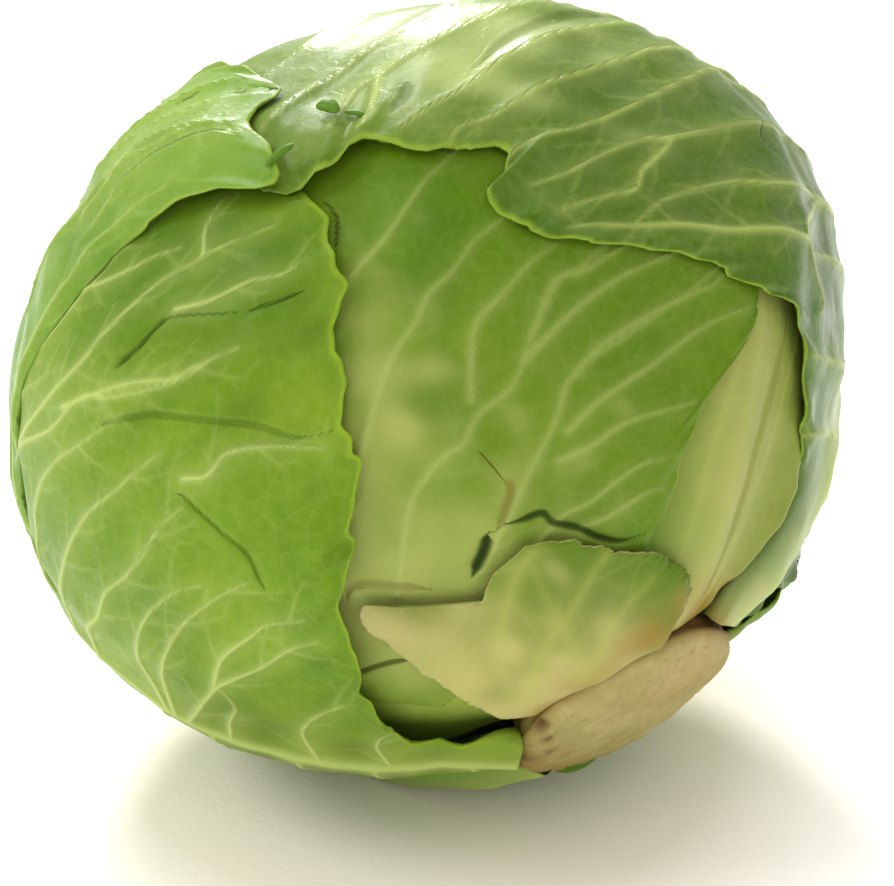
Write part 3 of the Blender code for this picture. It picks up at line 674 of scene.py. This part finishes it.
# Tints: the attribute, then the place, the radius in degrees, and how much.
TINTS = {
    "centre": dict(
        pale_and_highlight="""48 -64 17 .6, 62 -58 12 .35, 38 -52 12 .5, 67 -42 4.5 .6, 62 -48 4.5 .4,
        73 -37 3.5 .35""",
        lush="84 -24 8 .35, 74 -31 6 .4, 62 -38 6 .35, 56 -8 12 .25"),
    "left_wrapper": dict(
        # Painted shade: the first two deeper green patches, low on the left wrapper, darken it
        # where the floor lights it from below.
        lush="42 -128 16 .6, 57 -110 9 .6, 97 -55 16 .5, 82 -48 10 .35"),
    "centre_base": dict(
        pale_and_highlight="14 -50 9 .9, 33 -70 11 .85, 18 -86 10 .85",
        cream="44 -68 5 .6, 16 -62 6 .55, 12 -20 5 .4",
        ochre="""16 -45 3.5 .6, 16.5 -15 3.5 .7, 17 8 4 .85, 11 10 4 .6, 10 -25 3.2 .6,
        11 -60 3.2 .6, 13.5 -88 3.5 .7""",
        lush="25 -42 9 .45, 31 -28 9 .75, 28 -6 8 .7, 36 -38 6 .6"),
    "right_inner": dict(
        ochre="17 24 4.5 .9, 14 30 4 .6",
        lush="""34 3 4.5 .55, 29 0 4.5 .6, 24 -4 8 .7, 44 5 6 .5, 24 -6 9 .75, 24 5 6.5 .8,
        31 6 5 .6, 62 40 20 .3""",
        cream="16 26 7 .5"),
    "top_wrapper": dict(
        # Painted highlight: whitish patches high on the top wrapper stand in for the bright sheen
        # there.
        pale_and_highlight="97 -13 6 .7, 101 -4 6 .6, 112 -10 22 .35",
        # Painted shade: the deeper green patches near the stalk, from 20 to 34 degrees, stand in
        # for the shade where the leaf turns down, away from the light.
        lush="""66 38 13 .7, 82 -2 16 .5, 30 66 18 .9, 20 44 5 .9, 26 48 6 .9, 34 50 7 .8,
        30 72 7 .8""",
        cream="17 62 4.5 1, 21 63 3.6 .9, 25 63 2.8 .6",
        ochre="14.5 40 3.5 .7"),
    "back_right": dict(
        cream="18 110 7 .6"),
    "back_wrapper": dict(
        pale_and_highlight="118 -50 20 .3"),
    "lower_inner": dict(
        pale_and_highlight="30 -76 12 .4"),
}


def leaf_veins(leaf):
    """The leaf's main veins on its flat map, their side branches and the branches' own."""
    draw = np.random.default_rng(leaf.seed + 100)
    across = np.linspace(0.02, 0.97, 26)
    main = []
    traced = VEINS.get(leaf.spec["name"], "").split("\n")[1:]
    for places in traced:
        line = fine_line(table(places), leaf)
        start, end = (np.linalg.norm(line[k] - leaf.rib_line, axis=1).min() for k in (0, -1))
        main.append(line[::-1] if start > end else line)
    spread = np.arange(0.07, 0.97, 0.088)
    for side in (0, 1):
        if traced and (side == 0 or leaf.spec["ridge"] < 0.2):
            continue
        orders = np.clip(spread + draw.uniform(-0.012, 0.012, len(spread)), 0, 1)
        rows = lateral(leaf, side, orders, across)[0]
        main += [leaf.flat(row) for row in rows]
    first = [branch for line in main for branch in branches(line, draw, *FIRST_BRANCHES)]
    second = [branch for line in first for branch in branches(line, draw, *SECOND_BRANCHES)]
    return main, first, second


def add_tears(leaf, flat, look):
    """The height that tears and creases take from or give to the blade, and their colours."""
    height = np.zeros(len(flat))
    for row in TEARS.get(leaf.spec["name"], "").split("\n")[1:]:
        places, numbers = map(table, row.split(":"))
        half, depth, left, right, painted_tear_shade, brown = numbers[0]
        line = fine_line(places, leaf)
        picked = np.nonzero(np.all((flat > line.min(axis=0) - TEAR_NEAR)
                                   & (flat < line.max(axis=0) + TEAR_NEAR), axis=1))[0]
        away, along = side_of_line(flat[picked], line)
        ends = fade_ends(along)
        share = (away / (half * MM * (0.3 + 0.7 * ends))) ** 2
        turn = smooth_step(away / TEAR_TURN * 0.5 + 0.5)
        rise = (right + (left - right) * turn) * np.exp(-(away / TEAR_REACH) ** 2) * ends
        slot = np.exp(-share / 1.4) * (0.4 + 0.6 * ends)
        height[picked] += MM * (rise - TEAR_DEPTH * depth * slot)
        # Each point takes the painted shade and the brown of the tear nearest to it.
        closer = share < look["tear"][picked]
        chosen = picked[closer]
        look["tear"][chosen] = share[closer]
        look["painted_tear_shade"][chosen] = painted_tear_shade
        look["brown"][chosen] = brown
    return height


def add_tints(leaf, d, look):
    """Soft patches of another tint."""
    uneven = 1 + 0.25 * ripple(d * MAP_SCALE, TINT_WAVE, leaf.seed + 31)
    for key, text in TINTS.get(leaf.spec["name"], {}).items():
        for *place, radius, amount in table(text):
            angle = np.degrees(np.arccos(np.clip(d @ direction([place])[0], -1, 1)))
            patch = amount * np.exp(-(angle * uneven / radius) ** 2)
            look[key] = 1 - (1 - look[key]) * (1 - patch)


def build_leaf(leaf, stack):
    """The leaf's fine shell over the leaves under it."""
    spec = leaf.spec
    cell = spec["cell"] * 1
    long_side = max(side.length for side in leaf.sides) * MAP_SCALE
    leave, reached = leaf.rows(np.linspace(0.1, 0.9, 9))
    wide = max(np.linalg.norm(leaf.sides[side].at(reached[side]) - leaf.midrib.at(leave),
                              axis=1).max() for side in (0, 1)) * MAP_SCALE
    rows = 3 * max(4, round(long_side / cell / 3))
    columns = 3 * max(3, round(wide / cell / 3))
    order = np.linspace(0, 1, rows + 1)
    across = np.linspace(0, 1, columns + 1) ** 0.9
    (lead, lead_share), (trail, trail_share) = (lateral(leaf, side, order, across)
                                                for side in (0, 1))
    grid = np.concatenate([trail[:, :0:-1], lead], axis=1)
    share = np.concatenate([np.tile(trail_share[:, None], columns),
                            np.tile(lead_share[:, None], columns + 1)], axis=1).ravel()
    v = np.tile(np.concatenate([across[:0:-1], across]), rows + 1)
    leads = np.tile(np.repeat([False, True], [columns, columns + 1]), rows + 1)
    d = clear_of_stump(grid.reshape(-1, 3))
    lift = np.where(leads, leaf.lift(0, share), leaf.lift(1, share))
    below = stack_level(d, stack)
    flat = leaf.flat(d)
    main, first, second = leaf_veins(leaf)
    zeros = np.zeros(len(d))
    ridge, width = spec["ridge"], spec["vein"]
    far = zeros + FAR
    vein_far = nearness(flat, [(line, width, width * 0.6, 1.0) for line in main], far.copy())
    vein_far = nearness(flat, [(leaf.rib_line, *RIB_LINE)], vein_far)
    fine_far = nearness(flat, [(line, *FIRST_LINE) for line in first], far.copy())
    fine_far = nearness(flat, [(line, *SECOND_LINE) for line in second], fine_far)
    broad = np.exp(-nearness(flat, [(line, *BROAD_LINE) for line in main], far.copy()))
    vein, fine = np.exp(-vein_far), np.exp(-fine_far)
    away, along = distance_to_line(flat, leaf.rib_line)
    look = {key: zeros.copy() for key in ("brown", "painted_tear_shade", "lush", "cream", "ochre")}
    look.update(vein=vein_far, fine=fine_far, broad=broad, tear=far.copy())
    look["pale_and_highlight"] = spec.get("stalk", 0.7) * np.exp(-(away / STALK_REACH) ** 2) * (1 - along)
    # Paler margins where a margin stands off: partly the edge's own paler colour, partly a painted
    # highlight along the lifted edge.
    look["rim"] = smooth_step((v - 0.98) / 0.02) * smooth_step(lift / FLUSH_LIFT)
    at = d * MAP_SCALE
    crumple = sum(ripple(at, wave, leaf.seed + drawn) * size for wave, size, drawn in CRUMPLES)
    crumple *= min(1.0, 0.35 + ridge)
    relief = MM * ridge * (vein + 0.25 * fine - 0.9 * (1 - broad)) + crumple - 0.0003
    relief = np.clip(relief, *RELIEF_LIMITS)
    length = share * np.where(leads, *(side.length for side in leaf.sides)) * MAP_SCALE
    waves = ripple_along(length, RUFFLE_WAVE, leaf.seed + 5)
    near_edge = smooth_step((v - 0.78) / 0.22)
    relief += spec["ruffle"] * (waves + 0.3) * near_edge * np.clip(lift / 0.0008, 0, 1)
    relief += add_tears(leaf, flat, look)
    add_tints(leaf, d, look)
    flush = smooth_step(1 - lift / FLUSH_LIFT)
    drop = LEAF_GAP + BLADE - EDGE_SKIN - 0.0002 + 0.0003 * flush
    base = below + LEAF_GAP + BLADE + lift * v**5 - drop * v**14 * (0.55 + 0.45 * flush)
    outer = np.maximum(base + leaf.rib(d) + relief, below + 2 * CLEAR)
    skin = SKIN + (EDGE_SKIN - SKIN) * v**6
    least = below + CLEAR - FLUSH_SINK * flush * smooth_step((v - 0.9) / 0.1)
    inner = np.maximum(base + 0.5 * np.minimum(relief, 0) - skin, below + CLEAR)
    inner = inner + (least - inner) * flush * smooth_step((v - 0.85) / 0.15)
    inner = np.minimum(inner, outer - 3 * CLEAR)
    tops = inside_box(HEAD_CENTRE + d * outer[:, None])
    lows = inside_box(HEAD_CENTRE + d * inner[:, None], 2 * CLEAR)
    pick = np.arange(len(d)).reshape(rows + 1, -1)[::3, ::3].ravel()
    quads, back, walls = shell_faces(rows, columns)
    values = {key: np.concatenate([value, value[pick]]) for key, value in look.items()}
    made = make_piece("veined_" + spec["name"], leaf_look(spec["look"]),
                      np.vstack([tops, lows[pick]]), np.vstack([quads, back]), walls, values)
    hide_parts("leaf_" + spec["name"])


# Lumps and pits of the stump: how far right and up of its axis, the distance
# from the head's centre along it, the radius and the height, in millimetres,
# and how brown and how ochre it is.
LUMPS = """
    -24.5 4 83.5 1.7 -1.6 1 0, -22.5 .5 86 1.3 -1 .9 0, -24.6 -1.5 81.5 2 1.1 .55 .5,
    -22.5 -7.2 85.5 2 1.2 .7 .4, -19.5 -4.5 86.5 1.4 .5 .8 .2, -21 -12.5 84 1.8 1 .6 .5,
    -17 -15.5 85.5 1.9 .8 .3 .8, -12.8 -19 85.5 1.6 .8 .1 .9, -8 -21.5 85 1.7 .7 .2 .9,
    -4.2 -23 84.8 1.3 .6 .1 .9, .2 -23.4 85 1.4 .6 0 .8, 4.7 -23.2 85.2 1.3 .5 0 .6,
    8.9 -22.1 85.4 1.4 .4 0 .5, -14 -9 87 3 .3 0 .6, -4 23.5 80.5 2.2 .9 0 1,
    2 24.5 79.5 2.6 .5 0 .4"""


def build_stump():
    """The cut stem: a blunt lump with a domed cut face, bumps and a torn scrap of leaf."""
    axis = direction([STUMP_AXIS])[0]
    up = unit(np.array([0.0, 0.0, 1.0]) - axis[2] * axis)
    right = np.cross(up, axis)
    spread = math.tan(math.radians(STUMP_HALF_ANGLE))
    wide, fillet = STUMP_OUTER * spread, 0.0042
    turn = np.linspace(0, math.pi / 2, 9)
    profile = [(0.0, STUMP_INNER), (0.8 * STUMP_INNER * spread, STUMP_INNER)]
    profile += [(h * spread, h) for h in np.linspace(STUMP_INNER, STUMP_OUTER - fillet, 12)]
    profile += [(wide - fillet * 1.05 * (1 - math.cos(a)),
                 STUMP_OUTER - fillet * (1 - math.sin(a))) for a in turn[1:]]
    profile += [(r, STUMP_OUTER + STUMP_DOME * (1 - (r / wide) ** 2) ** 1.3)
                for r in np.linspace(wide - fillet * 1.15, 0, 22)]
    profile = np.array(profile)
    around = 144
    angles = np.linspace(0, 2 * math.pi, around, endpoint=False)
    radius, height = np.repeat(profile[:, 0], around), np.repeat(profile[:, 1], around)
    angle = np.tile(angles, len(profile))
    out = np.cos(angle)[:, None] * right + np.sin(angle)[:, None] * up
    upper = smooth_step(0.5 + 0.8 * np.sin(angle + 0.35))
    collar = np.exp(-((height - 0.0800) / 0.0022) ** 2) * (0.0004 + 0.0012 * upper)
    at = height[:, None] * axis + radius[:, None] * out
    rough = 0.00035 * ripple(at, 0.018, 71) + 0.00013 * ripple(at, 0.006, 72)
    full = smooth_step((height - STUMP_INNER - 0.001) / 0.004)
    wall = smooth_step((radius / wide - 0.55) / 0.4)
    at = at + out * ((collar + rough) * full * wall)[:, None] + axis * (rough * full)[:, None]
    brown = 0.85 * upper * smooth_step((0.0838 - height) / 0.0016) * wall
    ochre = smooth_step((0.0856 - height) / 0.003) * wall * (0.45 + 0.3 * upper)
    ochre = np.maximum(ochre, 0.75 * smooth_step((-np.sin(angle + 0.4) - 0.35) / 0.5) * wall)
    for x, y, along, size, rise, share_brown, share_ochre in table(LUMPS):
        spot = MM * (x * right + y * up + along * axis)
        near = np.exp(-(np.linalg.norm(at - spot, axis=1) / (MM * size)) ** 2)
        way = unit(axis * 0.6 + unit(spot - axis * (spot @ axis)))
        at = at + (MM * rise * near)[:, None] * way
        brown, ochre = np.maximum(brown, share_brown * near), np.maximum(ochre, share_ochre * near)
    blush = MM * (8 * right + 12 * up + 87 * axis)
    pink = 0.6 * np.exp(-(np.linalg.norm(at - blush, axis=1) / 0.011) ** 2)
    count = len(profile)
    ring = np.arange(around)
    nxt = (ring + 1) % around
    rows = np.arange(1, count - 2)[:, None] * around
    quads = np.stack([rows + ring, rows + nxt, rows + around + nxt, rows + around + ring], -1)
    quads = quads.reshape(-1, 4)
    last = (count - 1) * around
    fans = [(0, around + b, around + a) for a, b in zip(ring, nxt)]
    fans += [(last, last - around + a, last - around + b) for a, b in zip(ring, nxt)]
    made = make_piece("cut_stump", stump_look(), inside_box(HEAD_CENTRE + at), quads,
                      np.array(fans), {"brown": brown, "ochre": ochre, "pink": pink})
    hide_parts("stump")
    turn = math.radians(-92)
    foot = (HEAD_CENTRE + axis * 0.0832
            + 0.0255 * (math.cos(turn) * right + math.sin(turn) * up))
    build_scrap("stump_scrap", foot, (unit(right + 0.12 * up), unit(up - 0.12 * right), axis),
                (0.0068, 0.0017, 0.0030), "inner")


def build_scrap(name, middle, axes, sizes, look):
    """A small curled scrap of leaf: how far it reaches along, over and through."""
    sides, rings = 28, 12
    theta = np.linspace(0, math.pi, rings + 1)[:, None]
    phi = np.linspace(0, 2 * math.pi, sides, endpoint=False)[None, :]
    x = (np.cos(theta) + 0 * phi).ravel()
    y = (np.sin(theta) * np.cos(phi)).ravel()
    z = (np.sin(theta) * np.sin(phi)).ravel()
    y = y + 0.45 * x**2 - 0.2 * x
    points = middle + sum(share[:, None] * size * way
                          for share, size, way in zip((x, y, z), sizes, axes))
    grid = np.arange((rings + 1) * sides).reshape(rings + 1, sides)
    body, ahead = grid[1:-1], np.roll(grid[1:-1], -1, axis=1)
    quads = np.stack([body[:-1], body[1:], ahead[1:], ahead[:-1]], -1).reshape(-1, 4)
    ends = [(grid[0, 0], body[0, k], ahead[0, k]) for k in range(sides)]
    ends += [(grid[-1, 0], ahead[-1, k], body[-1, k]) for k in range(sides)]
    blank = np.zeros(len(points))
    values = {key: blank for key in ("broad", "pale_and_highlight", "cream", "ochre", "rim", "brown", "painted_tear_shade")}
    values.update(vein=blank + FAR, fine=blank + FAR, tear=blank + FAR, lush=blank + 0.5)
    make_piece(name, leaf_look(look), inside_box(points), quads,
               np.array(ends), values)


def build_curls(stack):
    """The curled bits at the top wrapper's margins."""
    for name, place, heading, sizes, lift, look in CURLS:
        d = direction([place])[0]
        ahead = direction([heading])[0]
        along = unit(ahead - (ahead @ d) * d)
        over = np.cross(d, along)
        radius = stack_level(d[None, :], stack)[0] + MM * lift
        build_scrap(name, HEAD_CENTRE + d * radius, (along, over, d),
                    tuple(MM * size for size in sizes), look)


# Curls: a name, the place, the place it heads for, its size along, across and
# through and its height over the leaves, in millimetres, and its look.
CURLS = [
    ("curl_upper", (98.5, -29.5), (102, -33), (2.6, 1.6, 0.9), 0.2, "lobe"),
    ("curl_stem", (96.3, -27.2), (99, -30), (2.4, 0.6, 0.5), 0.0, "lobe"),
    ("curl_rim", (90.6, -25.2), (89.5, -20), (3.2, 0.9, 0.7), -1.0, "left"),
    ("curl_fold", (94.6, -37.3), (93.6, -43), (3.4, 0.9, 0.7), 0.0, "lobe"),
]


def stump_look():
    """The dry, tan and pinkish cut stem."""
    n = Nodes("stump_cut")
    colour = n.mottled(70, 4, 0.6, 0.35, 0.65, linear(156, 144, 78), linear(178, 165, 100))
    flecks = n.math("MULTIPLY", n.remap(n.noise(300, 3, 0.6), 0.45, 0.7), 0.35)
    colour = n.mix(flecks, colour, linear(196, 180, 128))
    for key, tint in (("pink", linear(188, 156, 102)), ("ochre", linear(140, 112, 40)),
                      ("brown", linear(92, 56, 12))):
        colour = n.mix(n.attribute(key), colour, tint)
    specks = n.math("MULTIPLY", n.remap(n.noise(520, 2, 0.5), 0.6, 0.72), 0.4)
    colour = n.mix(specks, colour, linear(128, 98, 44))
    grain = n.bump(n.noise(620, 4, 0.65), 0.4, 0.0008)
    return n.finish({"Base Color": colour, "Roughness": 0.68, "Specular IOR Level": 0.3,
                     "Normal": n.bump(n.noise(190, 3, 0.6), 0.45, 0.0012, grain)})


def inside_box(points, by=0.00002):
    """Points kept within the solids' box, and above the floor."""
    low = np.array(CAD_BOX[0]) + by
    high = np.array(CAD_BOX[1]) - by
    low[2] = by if by > 0.0001 else 0.0
    return np.clip(points, low, high)


def linear(red, green, blue):
    """A colour of 0 to 255 numbers as the shader takes it."""
    shares = [value / 255 for value in (red, green, blue)]
    shares = [s / 12.92 if s <= 0.04045 else ((s + 0.055) / 1.055) ** 2.4 for s in shares]
    return tuple(s * TONE for s in shares) + (1,)


# Looks: the deep and mid colours, a deeper green that is also used as painted
# shade, a whitish tint that is also used as painted highlight, the vein colour
# and the tint of standing margins, partly a painted highlight, then the coat's
# weight, the roughness, how strongly veins tint the blade round them, the veins
# themselves and the fine ones, and their relief.
LOOKS = {
    "inner": ("78 118 14, 108 142 26, 48 92 8, 176 188 90, 160 178 70, 164 178 66",
        (0.02, 0.5, 0.15, 0.5, 0.3, 0.4)),
    "right": ("122 138 48, 142 152 68, 92 130 18, 190 190 114, 182 186 100, 206 204 124",
        (0.03, 0.44, 0.1, 0.25, 0.1, 0.2)),
    "centre": ("84 120 6, 106 137 22, 52 98 4, 168 176 92, 176 188 104, 160 176 62",
        (0.03, 0.42, 0.1, 0.42, 0.07, 0.7)),
    "base": ("90 112 20, 109 125 34, 84 122 14, 190 184 112, 180 184 92, 206 200 128",
        (0.03, 0.42, 0.15, 0.3, 0.15, 0.3)),
    "left": ("82 120 12, 125 155 33, 58 96 8, 176 186 84, 184 200 112, 150 182 46",
        (0.04, 0.44, 0.16, 0.75, 0.26, 1.25)),
    # The top leaf's whitish tint is light enough to serve as its painted highlight.
    "top": ("66 102 2, 92 124 8, 46 84 2, 192 207 128, 180 196 104, 152 182 50",
        (0.16, 0.34, 0.14, 0.85, 0.28, 1.05)),
    "back": ("74 116 14, 102 140 26, 56 98 10, 166 184 80, 172 192 90, 150 178 52",
        (0.08, 0.42, 0.15, 0.8, 0.3, 1.1)),
    "lobe": ("82 126 22, 112 150 38, 60 104 14, 172 192 96, 174 196 98, 160 188 62",
        (0.12, 0.4, 0.15, 0.7, 0.3, 1.0)),
}
MADE_LOOKS = {}


class Nodes:
    """A material's node tree, with calls that add its nodes."""

    def __init__(self, name):
        self.material = bpy.data.materials.new(name)
        self.material.use_nodes = True
        self.tree = self.material.node_tree
        self.place = self.add("TexCoord", "Object", {})

    def put(self, socket, value):
        """Links or sets an input."""
        if hasattr(value, "is_output"):
            self.tree.links.new(value, socket)
        else:
            socket.default_value = value

    def add(self, kind, output, inputs, **settings):
        """An output of a new node with these inputs and settings."""
        node = self.tree.nodes.new("ShaderNode" + kind)
        for key, value in settings.items():
            setattr(node, key, value)
        for key, value in inputs.items():
            self.put(node.inputs[key], value)
        return node.outputs[output]

    def finish(self, inputs):
        """The material, with these inputs of its shader."""
        for key, value in inputs.items():
            self.put(self.tree.nodes["Principled BSDF"].inputs[key], value)
        return self.material

    def attribute(self, name):
        """A float value of the mesh's points."""
        return self.add("Attribute", "Fac", {}, attribute_name=name)

    def peak(self, name, square=False):
        """One on a line, falling to nought over its width, from the squared share away."""
        value = self.attribute(name)
        if square:
            value = self.math("MULTIPLY", value, value, clamp=False)
        return self.math("EXPONENT", self.math("MULTIPLY", value, -1.0, clamp=False))

    def noise(self, scale, detail, roughness):
        """Soft noise over the object, from 0 to 1."""
        return self.add("TexNoise", "Fac", {"Vector": self.place, "Scale": scale,
                                            "Detail": detail, "Roughness": roughness})

    def cells(self, scale):
        """The distance to the edges of random cells."""
        return self.add("TexVoronoi", "Distance", {"Vector": self.place, "Scale": scale},
                        feature="DISTANCE_TO_EDGE")

    def remap(self, value, low, high, to_low=0.0, to_high=1.0):
        """A value's range moved to another, clamped."""
        return self.add("MapRange", "Result", {"Value": value, "From Min": low, "From Max": high,
                                               "To Min": to_low, "To Max": to_high})

    def math(self, operation, first, second=0.0, clamp=True):
        """One sum on two values."""
        return self.add("Math", 0, {0: first, 1: second}, operation=operation, use_clamp=clamp)

    def mix(self, share, first, second):
        """One colour turning to another by a share."""
        return self.add("Mix", 2, {0: share, 6: first, 7: second}, data_type="RGBA")

    def mottled(self, scale, detail, roughness, low, high, first, second):
        """Two colours in soft patches."""
        return self.mix(self.remap(self.noise(scale, detail, roughness), low, high),
                        first, second)

    def bump(self, height, strength, distance, normal=None):
        """A bumped normal."""
        inputs = {"Strength": strength, "Distance": distance, "Height": height}
        if normal is not None:
            inputs["Normal"] = normal
        return self.add("Bump", "Normal", inputs)


def leaf_look(name):
    """The waxy green of one kind of leaf."""
    if name in MADE_LOOKS:
        return MADE_LOOKS[name]
    colours, (gloss, rough, halo, bright, faint, relief) = LOOKS[name]
    deep, mid, lush, pale_and_highlight, pith, rim = (linear(*colour) for colour in table(colours))
    n = Nodes("cabbage_" + name)
    colour = n.mottled(34, 4, 0.55, 0.25, 0.75, deep, mid)
    dust = n.math("MULTIPLY", n.remap(n.noise(420, 3, 0.6), 0.4, 0.75), 0.1)
    cell = n.remap(n.cells(260), 0.0, 0.11, 1.0, 0.0)
    vein, fine, tear = n.peak("vein"), n.peak("fine"), n.peak("tear", square=True)
    for share, tint in (
            (dust, pale_and_highlight),
            (n.math("MULTIPLY", cell, 0.05), pith),
            # Deeper green: partly the leaf's own colour, partly painted shade.
            (n.attribute("lush"), lush),
            (n.attribute("pale_and_highlight"), pale_and_highlight),
            (n.attribute("cream"), linear(196, 184, 124)),
            (n.attribute("ochre"), linear(150, 116, 34)),
            (n.math("MULTIPLY", n.attribute("broad"), halo), pith),
            (n.math("MULTIPLY", fine, faint), pith),
            (n.math("MULTIPLY", vein, bright), pith),
            # The standing margins' tint, partly a painted highlight.
            (n.math("MULTIPLY", n.attribute("rim"), 0.6), rim),
            (n.math("MULTIPLY", n.peak("tear"), n.attribute("brown")), linear(112, 78, 26)),
            # Painted shade: a deep green laid in tears and creases, where shadow falls inside
            # them.
            (n.math("MULTIPLY", tear, n.attribute("painted_tear_shade")), linear(20, 44, 6))):
        colour = n.mix(share, colour, tint)
    patchy = n.remap(n.noise(90, 3, 0.5), 0.3, 0.7, rough - 0.05, rough + 0.08)
    height = n.math("ADD", n.math("MULTIPLY", vein, relief),
                    n.math("MULTIPLY", fine, relief * 0.25), clamp=False)
    height = n.math("SUBTRACT", height, n.math("MULTIPLY", tear, 0.5), clamp=False)
    grain = n.bump(n.noise(900, 3, 0.6), 0.12, 0.0004)
    pillow = n.bump(n.noise(170, 2, 0.5), 0.35, 0.0008, grain)
    lines = n.bump(height, 1.0, 0.0005, pillow)
    MADE_LOOKS[name] = n.finish({
        "Base Color": colour, "IOR": 1.16, "Coat Weight": gloss, "Coat Roughness": 0.26,
        "Roughness": n.math("ADD", patchy, n.math("MULTIPLY", tear, 0.5)),
        "Normal": n.bump(cell, 0.12, 0.0002, lines)})
    return MADE_LOOKS[name]


def dress_heart():
    """A light green, mottled, matt surface on the inner head."""
    n = Nodes("heart_pale")
    look = n.finish({
        "Base Color": n.mottled(80, 4, 0.6, 0.3, 0.7, linear(176, 188, 110),
                                linear(150, 172, 84)),
        "Roughness": 0.5, "Normal": n.bump(n.noise(500, 4, 0.6), 0.25, 0.0006)})
    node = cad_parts["heart"]
    if not node.data.materials:
        node.data.materials.append(look)
    for slot in node.material_slots:
        slot.material = look


def make_stage():
    """The white floor with a painted warm shadow near the head and a painted glow further out, the
    soft lights and the camera.
    """
    scene = bpy.context.scene
    floor = bpy.data.meshes.new("floor")
    corners = ((-1, -1), (1, -1), (1, 1), (-1, 1))
    floor.from_pydata([(FLOOR_REACH * x, FLOOR_REACH * y, 0) for x, y in corners], [],
                      [(0, 1, 2, 3)])
    ground = bpy.data.objects.new("floor", floor)
    scene.collection.objects.link(ground)
    n = Nodes("floor_painted_shadow_and_glow")
    # Painted shadow: the floor's colour is darker and warmer near the head and turns white further
    # out.
    away = n.add("VectorMath", "Value", {0: n.place}, operation="LENGTH")
    far = n.math("MULTIPLY", n.math("SUBTRACT", away, PAINTED_SHADOW_REACH), 20.0)
    floor.materials.append(n.finish({
        "Base Color": n.mix(far, (0.94, 0.868, 0.77, 1), (0.99, 0.985, 0.975, 1)),
        "Roughness": 0.9, "Specular IOR Level": 0.1, "Emission Color": (1, 0.98, 0.95, 1),
        # Painted light: the floor glows more strongly away from the head, lifting its shade.
        "Emission Strength": n.math("MULTIPLY", far, 0.3),
        "Normal": n.bump(n.noise(700, 4, 0.6), 0.2, 0.0005)}))

    scene.world = bpy.data.worlds.new("studio")
    scene.world.use_nodes = True
    sky = scene.world.node_tree.nodes["Background"].inputs
    sky["Color"].default_value = (1, 0.99, 0.965, 1)
    sky["Strength"].default_value = 0.84
    scene.view_settings.view_transform = "Standard"
    for name, place, target, size, watts in LAMPS:
        light = bpy.data.lights.new(name, "AREA")
        light.shape, light.size, light.energy = "DISK", size, watts
        made = bpy.data.objects.new(name, light)
        made.location = place
        way = Vector((0, 0, target)) - Vector(place)
        made.rotation_euler = way.to_track_quat("-Z", "Y").to_euler()
        scene.collection.objects.link(made)

    camera = bpy.data.cameras.new("camera")
    camera.lens, camera.sensor_width, camera.clip_start = 85, 36, 0.01
    made = bpy.data.objects.new("camera", camera)
    up = math.radians(CAMERA_UP)
    away = Vector((0, -math.cos(up), math.sin(up))) * CAMERA_DISTANCE
    made.location = Vector(HEAD_CENTRE) + away
    made.rotation_euler = (math.pi / 2 - up, 0, 0)
    camera.shift_x = (FRAME_SIZE[0] / 2 - HEAD_IN_FRAME[0]) / FRAME_SIZE[0]
    camera.shift_y = -(FRAME_SIZE[1] / 2 - HEAD_IN_FRAME[1]) / FRAME_SIZE[0]
    scene.collection.objects.link(made)
    scene.camera = made


def main():
    """Every leaf over those before it, then the stump, the curls and the stage."""
    stack = []
    for number, spec in enumerate(LEAVES):
        leaf = Leaf(spec, 1000 * (number + 1))
        build_leaf(leaf, stack)
        stack.append(leaf)
    dress_heart()
    build_stump()
    build_curls(stack)
    make_stage()


main()
